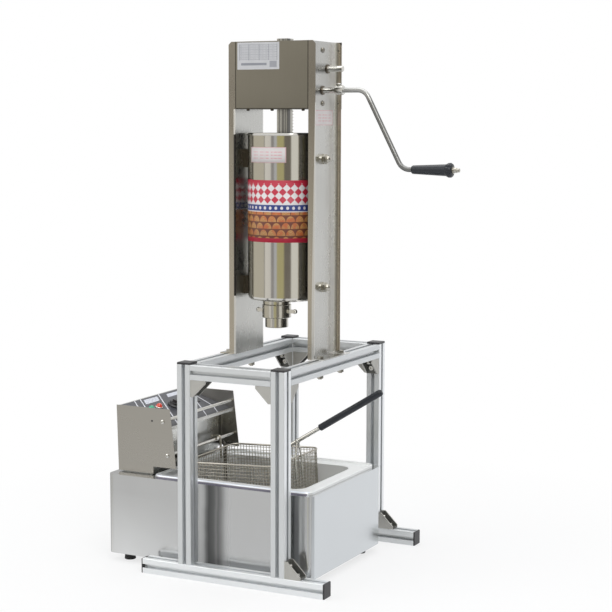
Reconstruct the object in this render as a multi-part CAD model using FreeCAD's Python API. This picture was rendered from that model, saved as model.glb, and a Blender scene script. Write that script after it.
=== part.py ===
import FreeCAD, Part
import math
import os

from FreeCAD import Rotation, Vector

# Churro maker: a rack-and-pinion dough press on a slotted-profile stand, with a table fryer beneath it.
# Millimetres. +X runs along the front towards the crank, +Y to the back, +Z up from the worktop.
# Shapes are drawn around the middle of the stand; MACHINE_SHIFT moves them at export, so that the
# origin lies on the worktop under the middle of the whole machine.

# ---------------------------------------------------------------- driving sizes: stand
PROFILE = 30.0            # side of the slotted profile
PROFILE_CORNER = 1.5
SLOT_MOUTH = 8.0
SLOT_LIP = 2.0
SLOT_WIDTH = 16.5
SLOT_SHOULDER = 4.6       # depth at which the slot starts to narrow
SLOT_DEPTH = 9.0
SLOT_FLOOR = 9.0          # width of the slot floor
CORE_BORE = 8.0
POST_PITCH_X = 210.0
POST_PITCH_Y = 444.0
POST_LENGTH = 405.0
BEAM_LENGTH = 408.0
POST_CAP = 4.0
BEAM_CAP = 3.0
CAP_PEG = 8.0
BRACKET_LEG = 34.0
BRACKET_WIDTH = 27.0
BRACKET_WALL = 3.0
BRACKET_BOLT = 6.6        # bolt hole in a bracket leg
BRACKET_TOE = 6.0         # height of the cheek at the far end of a leg

# ---------------------------------------------------------------- driving sizes: press frame
PRESS_Y = -4.0            # the press axis stands this far from the middle of the stand
SHEET = 2.0
COLUMN_GAP = 166.0        # clear width between the two webs
COLUMN_DEPTH = 120.0
COLUMN_HEIGHT = 637.0
FLANGE = 15.0
FLANGE_CORNER = 6.0
FOOT_REACH = 37.0
FOOT_BOLT_PITCH = 95.0
FOOT_BOLT = 8.0
FOOT_BOLT_TAIL = 10.0     # length of bolt that shows under the rail
WASHER = 1.6
BOLT_PLAY = 0.3           # radial clearance of a through bolt

# ---------------------------------------------------------------- driving sizes: gearbox
GEARBOX_HEIGHT = 135.0
PANEL = 1.5
TAB = 26.0                # height of the folded tabs of the gearbox plates
SCREW = 5.0
SCREW_DROP = 17.0         # gearbox screws below the top edge
SCREW_RISE = 12.0         # and above the bottom edge
FAST_SHAFT_DROP = 54.0
SHAFT = 12.0
RUNNING = 0.05            # radial clearance of a shaft in its bush
BUSH_WALL = 3.0
BUSH_FLANGE = 3.0
BUSH_FLANGE_THICK = 2.0
BUSH_INNER_LENGTH = 6.0
BUSH_OUTER_LENGTH = 2.0
BEARING_PLATE_X = 22.0
BEARING_PLATE = 3.0
RACK_WIDTH = 25.0
RACK_MODULE = 2.0
RACK_ANGLE = 25.0
RACK_PINION_TEETH = 12
RACK_PINION_WIDTH = 24.0
GEAR_MODULE = 1.5
GEAR_ANGLE = 20.0
SLOW_PINION_TEETH = 22
LARGE_GEAR_TEETH = 43
GEAR_FACE = 12.0
GEAR_X = 34.0             # inner side of the large gear
PINION_EXTRA = 2.0        # the slow pinion is this much wider than the large gear
GEAR_HUB = 10.0           # length of the gear bosses
GEAR_HUB_WALL = 6.0
GEAR_HOLES = 5
BACKLASH = 0.12
GUIDE = 7.5               # wall of the rack guide blocks
GUIDE_HEIGHT = 16.0
GUIDE_PLAY = 0.3
RACK_ABOVE = 7.0          # the rack stands this far above the gearbox at the end of its stroke
FAST_SHAFT_END = 34.7     # length of the free end outside the right web
RING_GROOVE = 1.2         # groove for a retaining ring outside the bush
RING_GROOVE_DEPTH = 0.4
SHAFT_CHAMFER = 0.8

# ---------------------------------------------------------------- driving sizes: cylinder and outlet
CYLINDER_BORE = 149.0
CYLINDER_WALL = 1.5
CYLINDER_HEIGHT = 340.0
CYLINDER_LIFT = 114.0     # underside of the cylinder above the top rails
CYLINDER_FLOOR = 2.0
CYLINDER_CORNER = 8.0
RIM_BEAD = 5.0
LUG_HEIGHT = 37.0
LUG_DEPTH = 52.0
LUG_ROOT = 14.0           # the saddle of a lug reaches this far round the cylinder
LUG_SKIN = 2.0            # metal between a pin's blind hole and the cylinder
LOW_LUG = 28.0            # lug centre above the underside of the cylinder
HIGH_LUG = 52.0           # lug centre below the rim
PIN = 10.0
PIN_HEX = 17.0
PIN_TAIL = 22.0           # how far a pin with its cap nut stands out of the web
OUTLET_FORWARD = 36.0     # outlet axis in front of the cylinder axis
NECK_BORE = 40.0
NECK_THREAD = 50.0
NECK_COLLAR = 57.0
NECK_COLLAR_HEIGHT = 7.5
NECK_LENGTH = 27.0
SLACK = 0.3               # gap between curved faces that turn or slide past each other
RING_HEIGHT = 27.0
RING_WALL = 4.4
RING_LIP = 3.0
WING_REACH = 42.0
WING_WIDTH = 10.0
WING_THICK = 7.0
WING_BALL = 10.0
NOZZLE_BARREL = 47.5
NOZZLE_WALL = 3.25
NOZZLE_DROP = 20.0        # how far the barrel stands below the ring
NOZZLE_FLANGE = 4.5
NOZZLE_PLAY = 0.5         # radial play of the nozzle's flange inside the ring
DIE_LEDGE = 2.5
DIE_THICK = 3.5
DIE_SEAT = 3.0            # width of the ledge under the die
STAR_OUTER = 16.0
STAR_INNER = 10.0
STAR_POINTS = 6

# ---------------------------------------------------------------- driving sizes: piston
PISTON_THICK = 18.0
PISTON_PLAY = 2.0
PISTON_GAP = 5.0          # piston above the cylinder floor at the end of its stroke
SEAL_HEIGHT = 8.0
SEAL_DEPTH = 6.0
STUD = 16.0
PISTON_NUT_HEX = 24.0
PISTON_NUT = 7.0
NUT_POCKET = 8.0
RACK_TOOTHED = 428.0

# ---------------------------------------------------------------- driving sizes: crank
HUB_START = 29.0          # hub beyond the right web
HUB_LENGTH = 18.0
HUB_DIAMETER = 19.0
HUB_END_WALL = 4.0
ARM = 10.0
ARM_NECK = 47.0           # straight of the arm beyond the hub, to the first bend
ARM_SLANT = 81.5          # the slanting part's reach along X
CRANK_RADIUS = 156.0
ARM_TAIL = 21.0           # straight from the second bend to the grip
ARM_BEND = 26.0
SPINDLE = 9.0
GRIP_LENGTH = 86.0
GRIP_SMALL = 17.0
GRIP_WIDE = 23.2          # end of the taper, where the collar starts
GRIP_LARGE = 29.2
GRIP_LOBES = 6
GRIP_LOBE_GROOVE = 7.0
GRIP_BOLT = 10.0
GRIP_BOLT_LENGTH = 14.0
THUMBSCREW = 6.0
THUMBSCREW_HEAD = 10.0
THUMBSCREW_HEIGHT = 3.5
THUMBSCREW_GAP = 0.5

# ---------------------------------------------------------------- driving sizes: fryer
FRYER_LENGTH = 475.0
FRYER_WIDTH = 329.0
FRYER_LEFT = 319.0        # left end of the case, from the middle of the stand
FRYER_FRONT = 189.0       # near side of the case, from the middle of the stand
FOOT_HEIGHT = 18.0
FOOT_DIAMETER = 24.0
FOOT_INSET = 33.0
CASE_HEIGHT = 167.0
CASE_WALL = 1.2
CASE_CORNER = 14.0
TANK_TO_HEAD = 11.0       # tank rim to the foot of the control head
TANK_WIDTH = 243.0
TANK_DEPTH = 145.0
TANK_RIGHT = 44.0         # tank wall to the right end of the case
TANK_FRONT = 43.0         # tank wall to the near side of the case
TANK_WALL = 1.2
TANK_CORNER = 30.0
TANK_FLOOR_CORNER = 10.0
TANK_RIM = 34.0
TANK_RIM_LEFT = 22.0
TANK_RIM_CORNER = 18.0
TANK_BEAD = 6.0
TANK_BEAD_WIDTH = 4.5
TANK_PLAY = 1.5
HEAD_WIDTH = 266.0
HEAD_FRONT = 31.0         # near cheek behind the near side of the case
HEAD_LEFT = 4.0           # back of the head from the left end of the case
HEAD_HEIGHT = 137.5
HEAD_LIFT = 2.5           # shadow gap between the case and the cheeks
HEAD_SEAT_INSET = 8.0
CHEEK = 1.5
CHEEK_TOP = 129.0
CHEEK_SEAT = 89.0         # length of the cheek's lower edge that rests over the case
CHEEK_NOSE = 143.5
CHEEK_STEP = 15.0
CHEEK_LEAN = 4.0
HEAD_BOX = 101.5          # back to recessed front wall
PANEL_DROP = 37.0         # the control panel falls by this much from back to front
PANEL_REACH = 131.0
PANEL_LIP = 5.0
KNOB = 38.0
KNOB_HEIGHT = 16.0
KNOB_SHAFT = 6.0
KNOB_FAR = 130.0           # knob axis from the far cheek
KNOB_ALONG = 62.0         # knob and switch from the back of the head
KNOB_GRIP = 9.0
SWITCH_LENGTH = 26.0
SWITCH_WIDTH = 18.0
SWITCH_BEZEL = 3.0
SWITCH_NEAR = 205.0       # switch and lamps from the near cheek
SWITCH_THROW = 8.0        # the rocker rests tilted by this angle
LAMP = 11.0
LAMP_NEAR = (57.0, 87.0)
LAMP_ALONG = 49.0
GUARD_BAR = 7.0
GUARD_FORWARD = 125.0
GUARD_BELOW = 21.5
HANG_BAR = 8.0
HANG_FORWARD = 131.0
HANG_ABOVE = 46.5         # hanging bar above the top of the case
ELEMENT = 8.0
ELEMENT_PITCH = 26.0
ELEMENT_RISER = 9.0       # riser axis from the tank's left wall
ELEMENT_HEIGHT = 20.0     # element above the tank floor
ELEMENT_LOOPS = 4
ELEMENT_FAR = 40.0        # far bends of the element from the tank's right wall
ELEMENT_NEAR = 45.0       # near bends of the element from its risers
ELEMENT_PLAY = 0.2
GLAND = 16.0
GLAND_REACH = 12.0
GLAND_BORE = 7.0
GLAND_HEIGHT = 26.0
GLAND_SEAT = 0.4

# ---------------------------------------------------------------- driving sizes: basket
BASKET_LENGTH = 210.0
BASKET_WIDTH = 215.0
BASKET_DEPTH = 105.0
BASKET_LEFT = 21.0        # basket side from the tank's left wall
BASKET_FRONT = 14.0       # basket side from the tank's near wall
BASKET_ABOVE = 29.5       # rim above the top of the case, before the tilt
BASKET_TILT = 2.7         # the basket hangs with its handle end a little higher
BASKET_WALL = 1.5
BASKET_CORNER = 20.0
RIM_WIRE = 4.0
HOOK_WIRE = 5.0
HOOK_PITCH = 110.0
HOOK_GAP = 6.0            # free space behind the hanging bar
HOOK_BEND = 4.5
HOOK_ROOT = 25.0          # length of hook wire along the basket below its rim
BRACKET_WIRE = 4.0
BRACKET_SPREAD = 14.0
BRACKET_RISE = 32.5
HANDLE_ROD = 8.0
HANDLE_ANGLE = 29.1
HANDLE_HEEL = 23.0
HANDLE_ROD_LENGTH = 60.2
HANDLE_GRIP = 14.0
HANDLE_GRIP_LENGTH = 162.0
HANDLE_GRIP_END = 10.0    # solid end of the grip beyond its rod
BRACKET_LEG_LENGTH = 45.0
BRACKET_WIRE_BEND = 8.0

# ---------------------------------------------------------------- places worked out from the sizes
POST_X = POST_PITCH_X / 2
POST_Y = POST_PITCH_Y / 2
HALF = PROFILE / 2
RAIL_TOP = PROFILE + POST_LENGTH
RAIL_AXIS_Z = RAIL_TOP - HALF
WEB_INNER = COLUMN_GAP / 2
WEB_OUTER = WEB_INNER + SHEET
COLUMN_FRONT = PRESS_Y - COLUMN_DEPTH / 2
COLUMN_BACK = PRESS_Y + COLUMN_DEPTH / 2
COLUMN_TOP = RAIL_TOP + COLUMN_HEIGHT
GEARBOX_BOTTOM = COLUMN_TOP - GEARBOX_HEIGHT
SCREW_ROWS = (GEARBOX_BOTTOM + SCREW_RISE, COLUMN_TOP - SCREW_DROP)
FOOT_BOLT_X = POST_X
FOOT_BOLTS = (PRESS_Y - FOOT_BOLT_PITCH / 2, PRESS_Y + FOOT_BOLT_PITCH / 2)
CYLINDER_RADIUS = CYLINDER_BORE / 2 + CYLINDER_WALL
CYLINDER_BOTTOM = RAIL_TOP + CYLINDER_LIFT
CYLINDER_TOP = CYLINDER_BOTTOM + CYLINDER_HEIGHT
PIN_HEIGHTS = (CYLINDER_BOTTOM + LOW_LUG, CYLINDER_TOP - HIGH_LUG)
FAST_Z = COLUMN_TOP - FAST_SHAFT_DROP
RACK_PITCH_LINE = RACK_WIDTH / 2 - RACK_MODULE
FAST_OFFSET = RACK_PITCH_LINE + RACK_MODULE * RACK_PINION_TEETH / 2
FAST_Y = PRESS_Y + FAST_OFFSET
GEAR_CENTRES = GEAR_MODULE * (SLOW_PINION_TEETH + LARGE_GEAR_TEETH) / 2
FAST_GROOVE_X = WEB_OUTER + BUSH_OUTER_LENGTH + SLACK
SLOW_Z = FAST_Z - math.sqrt(GEAR_CENTRES ** 2 - FAST_OFFSET ** 2)
OUTLET_Y = PRESS_Y - OUTLET_FORWARD
NECK_BOTTOM = CYLINDER_BOTTOM - NECK_LENGTH
RING_TOP = CYLINDER_BOTTOM - NECK_COLLAR_HEIGHT - SLACK
RING_BOTTOM = RING_TOP - RING_HEIGHT
RING_BORE_R = NECK_THREAD / 2 + SLACK
NOZZLE_BOTTOM = RING_BOTTOM - NOZZLE_DROP
PISTON_BOTTOM = CYLINDER_BOTTOM + CYLINDER_FLOOR + PISTON_GAP
PISTON_TOP = PISTON_BOTTOM + PISTON_THICK
RACK_TOP = COLUMN_TOP + RACK_ABOVE
HUB_X = WEB_OUTER + HUB_START
ARM_X = HUB_X + HUB_LENGTH
BEND_X = ARM_X + ARM_NECK
LOW_BEND_X = BEND_X + ARM_SLANT
GRIP_X = LOW_BEND_X + ARM_TAIL
GRIP_Z = SLOW_Z - CRANK_RADIUS
CASE_RIGHT = FRYER_LENGTH - FRYER_LEFT
CASE_BACK = FRYER_WIDTH - FRYER_FRONT
CASE_TOP = FOOT_HEIGHT + CASE_HEIGHT
TANK_X1 = CASE_RIGHT - TANK_RIGHT
TANK_X0 = -FRYER_LEFT + HEAD_LEFT + CHEEK_SEAT + TANK_TO_HEAD + TANK_RIM_LEFT
TANK_LENGTH = TANK_X1 - TANK_X0
TANK_Y0 = -FRYER_FRONT + TANK_FRONT
TANK_Y1 = TANK_Y0 + TANK_WIDTH
TANK_BOTTOM = CASE_TOP - TANK_DEPTH
HEAD_X = -FRYER_LEFT + HEAD_LEFT
HEAD_Y0 = -FRYER_FRONT + HEAD_FRONT
HEAD_Y1 = HEAD_Y0 + HEAD_WIDTH
HEAD_BOTTOM = CASE_TOP + HEAD_LIFT
HEAD_TOP = HEAD_BOTTOM + HEAD_HEIGHT
PANEL_TILT = math.degrees(math.atan2(PANEL_DROP, PANEL_REACH))
BASKET_X0 = TANK_X0 + BASKET_LEFT
BASKET_X1 = BASKET_X0 + BASKET_LENGTH
BASKET_Y0 = TANK_Y0 + BASKET_FRONT
BASKET_Y1 = BASKET_Y0 + BASKET_WIDTH
BASKET_Y = (BASKET_Y0 + BASKET_Y1) / 2
BASKET_TOP = CASE_TOP + BASKET_ABOVE
BASKET_BOTTOM = BASKET_TOP - BASKET_DEPTH
HANG_X = HEAD_X + HANG_FORWARD
HANG_Z = CASE_TOP + HANG_ABOVE
GLAND_X = HEAD_X + CHEEK_LEAN * (1 - GLAND_HEIGHT / HEAD_HEIGHT) - GLAND_REACH - GLAND_SEAT
MACHINE_RIGHT = GRIP_X + SLACK * 2 + GRIP_LENGTH + GRIP_BOLT_LENGTH
MACHINE_LEFT = min(GLAND_X, -FRYER_LEFT)
MACHINE_SHIFT = Vector(-(MACHINE_LEFT + MACHINE_RIGHT) / 2, 0, 0)

AXIS_X = Vector(1, 0, 0)
AXIS_Y = Vector(0, 1, 0)
AXIS_Z = Vector(0, 0, 1)


# ---------------------------------------------------------------- drawing helpers
def block(x0, x1, y0, y1, z0, z1):
    """Box between two corners."""
    return Part.makeBox(x1 - x0, y1 - y0, z1 - z0, Vector(x0, y0, z0))


def rod(x, y, z, radius, length, axis=AXIS_Z):
    """Cylinder from a point along an axis."""
    return Part.makeCylinder(radius, length, Vector(x, y, z), axis)


def pipe(x, y, z, outer, inner, length, axis=AXIS_Z):
    """Hollow cylinder from a point along an axis."""
    return rod(x, y, z, outer, length, axis).cut(rod(x, y, z, inner, length, axis))


def fused(shapes):
    """One solid from touching shapes."""
    first = shapes[0]
    return first.multiFuse(shapes[1:]).removeSplitter()


def group(shapes):
    """Separate solids that share one node."""
    return Part.makeCompound(shapes)


def mirrored_x(shape):
    return shape.mirror(Vector(0, 0, 0), AXIS_X)


def polygon(points):
    """Flat face from a closed outline."""
    return Part.Face(Part.makePolygon(list(points) + [points[0]]))


def plate_xz(outline, y0, y1):
    """Plate across Y from an outline of (x, z) points."""
    return polygon([Vector(x, y0, z) for x, z in outline]).extrude(Vector(0, y1 - y0, 0))


def turned(outline, x, y, z=0.0):
    """Solid turned about a vertical axis from an outline of (radius, height) points."""
    face = polygon([Vector(r, 0, h) for r, h in outline])
    shape = face.revolve(Vector(0, 0, 0), AXIS_Z, 360)
    shape.translate(Vector(x, y, z))
    return shape


def turned_x(outline, x, y, z):
    """Solid turned about an axis along X from an outline of (radius, distance) points."""
    shape = turned(outline, 0, 0)
    shape.rotate(Vector(0, 0, 0), AXIS_Y, 90)
    shape.translate(Vector(x, y, z))
    return shape


def hexagon(across, height):
    """Hexagonal bar on the origin, along Z."""
    corner = across / math.sqrt(3)
    turns = [math.radians(60 * n) for n in range(6)]
    face = polygon([Vector(corner * math.cos(a), corner * math.sin(a), 0) for a in turns])
    return face.extrude(Vector(0, 0, height))


def rounded_block(x0, x1, y0, y1, z0, z1, radius):
    """Box with its four upright edges rounded."""
    shape = block(x0, x1, y0, y1, z0, z1)
    upright = [e for e in shape.Edges if abs(e.tangentAt(e.FirstParameter).z) > 0.99]
    return shape.makeFillet(radius, upright)


def bent_rod(points, radius, bend):
    """Round rod along straight runs that are joined by tangent arcs of one radius."""
    edges = []
    start = points[0]
    for before, corner, after in zip(points, points[1:], points[2:]):
        way_in = (corner - before).normalize()
        way_out = (after - corner).normalize()
        turn = way_in.getAngle(way_out)
        trim = bend * math.tan(turn / 2)
        arc_start = corner - way_in * trim
        arc_end = corner + way_out * trim
        middle = (way_out - way_in).normalize()
        arc_middle = corner + middle * (bend / math.cos(turn / 2) - bend)
        edges.append(Part.LineSegment(start, arc_start).toShape())
        edges.append(Part.Arc(arc_start, arc_middle, arc_end).toShape())
        start = arc_end
    edges.append(Part.LineSegment(start, points[-1]).toShape())
    path = Part.Wire(edges)
    ring = Part.Wire(Part.makeCircle(radius, points[0], (points[1] - points[0]).normalize()))
    return path.makePipeShell([ring], True, False)


def gear_outline(teeth, module, angle, tooth_at):
    """Involute gear outline with a tooth centred on the given direction, in degrees."""
    pitch_r = module * teeth / 2
    base_r = pitch_r * math.cos(math.radians(angle))
    tip_r = pitch_r + module
    root_r = pitch_r - 1.25 * module
    involute = math.tan(math.radians(angle)) - math.radians(angle)
    half_pitch_tooth = math.pi / (2 * teeth) - BACKLASH / (2 * pitch_r)
    start_r = max(base_r, root_r)
    radii = [start_r + (tip_r - start_r) * n / 3 for n in range(4)]
    flank = [(root_r, None)] if start_r > root_r else []
    flank += [(r, math.acos(min(1.0, base_r / r))) for r in radii]
    points = []
    for tooth in range(teeth):
        centre = math.radians(tooth_at) + 2 * math.pi * tooth / teeth
        side = []
        for r, roll in flank:
            roll = 0.0 if roll is None else roll
            side.append((r, half_pitch_tooth + involute - (math.tan(roll) - roll)))
        for r, half in side:
            points.append(Vector(r * math.cos(centre - half), r * math.sin(centre - half), 0))
        for r, half in reversed(side):
            points.append(Vector(r * math.cos(centre + half), r * math.sin(centre + half), 0))
    return points


def gear_blank(teeth, module, angle, tooth_at, width):
    """Toothed disc along X, drawn about its own axis."""
    shape = polygon(gear_outline(teeth, module, angle, tooth_at)).extrude(Vector(0, 0, width))
    shape.rotate(Vector(0, 0, 0), Vector(1, 1, 1), 120)
    return shape


# ---------------------------------------------------------------- stand
def profile_section():
    """Cross-section of the slotted profile, in the drawing plane."""
    outer = block(-HALF, HALF, -HALF, HALF, 0, 1)
    upright = [e for e in outer.Edges if abs(e.tangentAt(e.FirstParameter).z) > 0.99]
    outer = outer.makeFillet(PROFILE_CORNER, upright)
    section = [f for f in outer.Faces if f.normalAt(0, 0).z < -0.99][0]
    half_mouth, half_slot, half_floor = SLOT_MOUTH / 2, SLOT_WIDTH / 2, SLOT_FLOOR / 2
    side = [(HALF + 1, half_mouth), (HALF - SLOT_LIP, half_mouth), (HALF - SLOT_LIP, half_slot),
            (HALF - SLOT_SHOULDER, half_slot), (HALF - SLOT_DEPTH, half_floor)]
    outline = side + [(x, -y) for x, y in reversed(side)]
    slot = polygon([Vector(x, y, 0) for x, y in outline])
    for quarter in range(4):
        cutter = slot.copy()
        cutter.rotate(Vector(0, 0, 0), AXIS_Z, 90 * quarter)
        section = section.cut(cutter)
    core = Part.Face(Part.Wire(Part.makeCircle(CORE_BORE / 2)))
    return section.cut(core)


SECTION = profile_section()


def profile_bar(length, start, rotation):
    """Length of slotted profile from a start point, along the turned Z axis."""
    bar = SECTION.extrude(Vector(0, 0, length))
    bar.Placement = FreeCAD.Placement(start, rotation)
    return bar


def post(side, end):
    return profile_bar(POST_LENGTH, Vector(side * POST_X, end * POST_Y, PROFILE), Rotation())


def bar_along_x(length, y, z):
    return profile_bar(length, Vector(-length / 2, y, z), Rotation(AXIS_Y, 90))


def side_rail(side):
    """Top rail along Y, drilled for the two bolts of a press column."""
    length = POST_PITCH_Y - PROFILE
    start = Vector(side * POST_X, -length / 2, RAIL_AXIS_Z)
    rail = profile_bar(length, start, Rotation(AXIS_X, -90))
    for y in FOOT_BOLTS:
        hole = rod(side * FOOT_BOLT_X, y, RAIL_TOP - PROFILE, FOOT_BOLT / 2 + BOLT_PLAY, PROFILE)
        rail = rail.cut(hole)
    return rail


def cap(thickness):
    """End cap over the origin: a chamfered plate with a peg for the core bore."""
    plate = rounded_block(-HALF, HALF, -HALF, HALF, 0, thickness, PROFILE_CORNER)
    top = [e for e in plate.Edges if e.BoundBox.ZMin > thickness - 0.01]
    plate = plate.makeChamfer(1.0, top)
    return plate.fuse(rod(0, 0, -CAP_PEG, CORE_BORE / 2 - RUNNING, CAP_PEG))


def end_caps():
    """Black caps on the four post tops and the four beam ends."""
    caps = []
    for side in (-1, 1):
        for end in (-1, 1):
            post_cap = cap(POST_CAP)
            post_cap.translate(Vector(side * POST_X, end * POST_Y, RAIL_TOP))
            beam_cap = cap(BEAM_CAP)
            beam_cap.rotate(Vector(0, 0, 0), AXIS_Y, 90 * side)
            beam_cap.translate(Vector(side * BEAM_LENGTH / 2, end * POST_Y, HALF))
            caps += [post_cap, beam_cap]
    return group(caps)


def corner_bracket():
    """Cast corner bracket in the corner of +X and +Z: two drilled legs and two cheeks."""
    half = BRACKET_WIDTH / 2
    legs = [block(0, BRACKET_LEG, -half, half, 0, BRACKET_WALL),
            block(0, BRACKET_WALL, -half, half, 0, BRACKET_LEG)]
    outline = [(0, 0), (BRACKET_LEG, 0), (BRACKET_LEG, BRACKET_TOE), (BRACKET_TOE, BRACKET_LEG),
               (0, BRACKET_LEG)]
    cheeks = [plate_xz(outline, -half, -half + BRACKET_WALL),
              plate_xz(outline, half - BRACKET_WALL, half)]
    shape = fused(legs + cheeks)
    reach = BRACKET_LEG * 0.55
    for hole in (rod(reach, 0, -1, BRACKET_BOLT / 2, BRACKET_WALL + 2),
                 rod(-1, 0, reach, BRACKET_BOLT / 2, BRACKET_WALL + 2, AXIS_X)):
        shape = shape.cut(hole)
    return shape


def placed_bracket(x, y, z, heading, upside_down):
    """Corner bracket at a corner, its level leg pointing along the heading in degrees."""
    shape = corner_bracket()
    if upside_down:
        shape.rotate(Vector(0, 0, 0), AXIS_X, 180)
    shape.rotate(Vector(0, 0, 0), AXIS_Z, heading)
    shape.translate(Vector(x, y, z))
    return shape


def corner_brackets():
    """Brackets under the top rails, and outside the two right posts on the beams."""
    under = RAIL_TOP - PROFILE
    placed = []
    for side in (-1, 1):
        for end in (-1, 1):
            inward_x = 180 if side > 0 else 0
            inward_y = -90 * end
            placed.append(placed_bracket(side * (POST_X - HALF), end * POST_Y, under, inward_x, True))
            placed.append(placed_bracket(side * POST_X, end * (POST_Y - HALF), under, inward_y, True))
    for end in (-1, 1):
        placed.append(placed_bracket(POST_X + HALF, end * POST_Y, PROFILE, 0, False))
    return group(placed)


# ---------------------------------------------------------------- press frame
def column(side):
    """Folded channel that opens outwards, with a foot plate on the side rail."""
    web = block(WEB_INNER, WEB_OUTER, COLUMN_FRONT, COLUMN_BACK, RAIL_TOP, COLUMN_TOP)
    tip = WEB_INNER + FLANGE
    flange_outline = [(WEB_INNER, RAIL_TOP), (tip, RAIL_TOP), (tip, COLUMN_TOP - FLANGE_CORNER),
                      (tip - FLANGE_CORNER, COLUMN_TOP), (WEB_INNER, COLUMN_TOP)]
    front = plate_xz(flange_outline, COLUMN_FRONT, COLUMN_FRONT + SHEET)
    back = plate_xz(flange_outline, COLUMN_BACK - SHEET, COLUMN_BACK)
    foot = block(WEB_INNER, WEB_INNER + FOOT_REACH, COLUMN_FRONT, COLUMN_BACK, RAIL_TOP, RAIL_TOP + SHEET)
    shape = fused([web, front, back, foot])
    bush_r = SHAFT / 2 + RUNNING + BUSH_WALL
    cuts = [rod(FOOT_BOLT_X, y, RAIL_TOP - 1, FOOT_BOLT / 2 + BOLT_PLAY, SHEET + 2) for y in FOOT_BOLTS]
    cuts += [rod(WEB_INNER - 1, PRESS_Y, z, PIN / 2 + RUNNING, SHEET + 2, AXIS_X) for z in PIN_HEIGHTS]
    cuts += [rod(WEB_INNER - 1, PRESS_Y, z, SCREW / 2, SHEET + 2, AXIS_X) for z in SCREW_ROWS]
    flange_middle = (WEB_OUTER + tip) / 2
    cuts += [rod(flange_middle, COLUMN_BACK - SHEET - 1, z, SCREW / 2, SHEET + 2, AXIS_Y) for z in SCREW_ROWS]
    cuts.append(rod(WEB_INNER - 1, FAST_Y, FAST_Z, bush_r, SHEET + 2, AXIS_X))
    if side > 0:
        cuts.append(rod(WEB_INNER - 1, PRESS_Y, SLOW_Z, bush_r, SHEET + 2, AXIS_X))
    for cut in cuts:
        shape = shape.cut(cut)
    return shape if side > 0 else mirrored_x(shape)


def hex_bolt(diameter, across, head, length):
    """Hexagon bolt that hangs down from the origin, its head above it."""
    return hexagon(across, head).fuse(rod(0, 0, -length, diameter / 2, length))


def hex_nut(diameter, across, height):
    """Hexagon nut on the origin."""
    return hexagon(across, height).cut(rod(0, 0, -1, diameter / 2, height + 2))


def column_fasteners():
    """Bolts through foot plates and side rails, with washers and nuts underneath."""
    across = FOOT_BOLT * 1.6
    nut = FOOT_BOLT * 0.8
    under = RAIL_TOP - PROFILE
    solids = []
    for side in (-1, 1):
        for y in FOOT_BOLTS:
            x = side * FOOT_BOLT_X
            top = RAIL_TOP + SHEET
            bolt = hex_bolt(FOOT_BOLT, across, FOOT_BOLT * 0.65, SHEET + PROFILE + FOOT_BOLT_TAIL)
            bolt.translate(Vector(x, y, top))
            washer = pipe(x, y, under - WASHER, FOOT_BOLT, FOOT_BOLT / 2, WASHER)
            tail_nut = hex_nut(FOOT_BOLT, across, nut)
            tail_nut.translate(Vector(x, y, under - WASHER - nut))
            solids += [bolt, washer, tail_nut]
    return group(solids)


# ---------------------------------------------------------------- gearbox
def rack_hole(clearance, z0, z1):
    """Cutter for the rack's square passage."""
    half = RACK_WIDTH / 2 + clearance
    return block(-half, half, PRESS_Y - half, PRESS_Y + half, z0, z1)


def gearbox_front_panel():
    return block(-WEB_INNER, WEB_INNER, COLUMN_FRONT, COLUMN_FRONT + PANEL, GEARBOX_BOTTOM, COLUMN_TOP)


def gearbox_rear_panel():
    """Plate screwed to the back of the two rear flanges."""
    tip = WEB_INNER + FLANGE
    panel = block(-tip, tip, COLUMN_BACK, COLUMN_BACK + PANEL, GEARBOX_BOTTOM, COLUMN_TOP)
    for side in (-1, 1):
        for z in SCREW_ROWS:
            x = side * (WEB_OUTER + tip) / 2
            panel = panel.cut(rod(x, COLUMN_BACK - 1, z, SCREW / 2, PANEL + 2, AXIS_Y))
    return panel


def gearbox_end_plate(level, inward, screw_z):
    """Top or bottom plate, folded at both webs and behind the front panel."""
    front = COLUMN_FRONT + PANEL
    inner = level + inward * PANEL
    z0, z1 = sorted((level, inner))
    t0, t1 = sorted((inner, level + inward * TAB))
    parts = [block(-WEB_INNER, WEB_INNER, front, COLUMN_BACK, z0, z1),
             block(-WEB_INNER + PANEL, WEB_INNER - PANEL, front, front + PANEL, t0, t1)]
    for side in (-1, 1):
        x0, x1 = sorted((side * WEB_INNER, side * (WEB_INNER - PANEL)))
        parts.append(block(x0, x1, PRESS_Y - TAB / 2, PRESS_Y + TAB / 2, t0, t1))
    plate = fused(parts).cut(rack_hole(SLACK * 3, z0 - 1, z1 + 1))
    for side in (-1, 1):
        x = side * WEB_INNER - 3
        plate = plate.cut(rod(x, PRESS_Y, screw_z, SCREW / 2, 6, AXIS_X))
    return plate


def bearing_plate():
    """Inner plate that carries the inner ends of the shafts."""
    plate = block(BEARING_PLATE_X, BEARING_PLATE_X + BEARING_PLATE, COLUMN_FRONT + 2 * PANEL, COLUMN_BACK,
                  GEARBOX_BOTTOM + PANEL, COLUMN_TOP - PANEL)
    bush_r = SHAFT / 2 + RUNNING + BUSH_WALL
    for y, z in ((PRESS_Y, SLOW_Z), (FAST_Y, FAST_Z)):
        plate = plate.cut(rod(BEARING_PLATE_X - 1, y, z, bush_r, BEARING_PLATE + 2, AXIS_X))
    return plate


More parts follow.
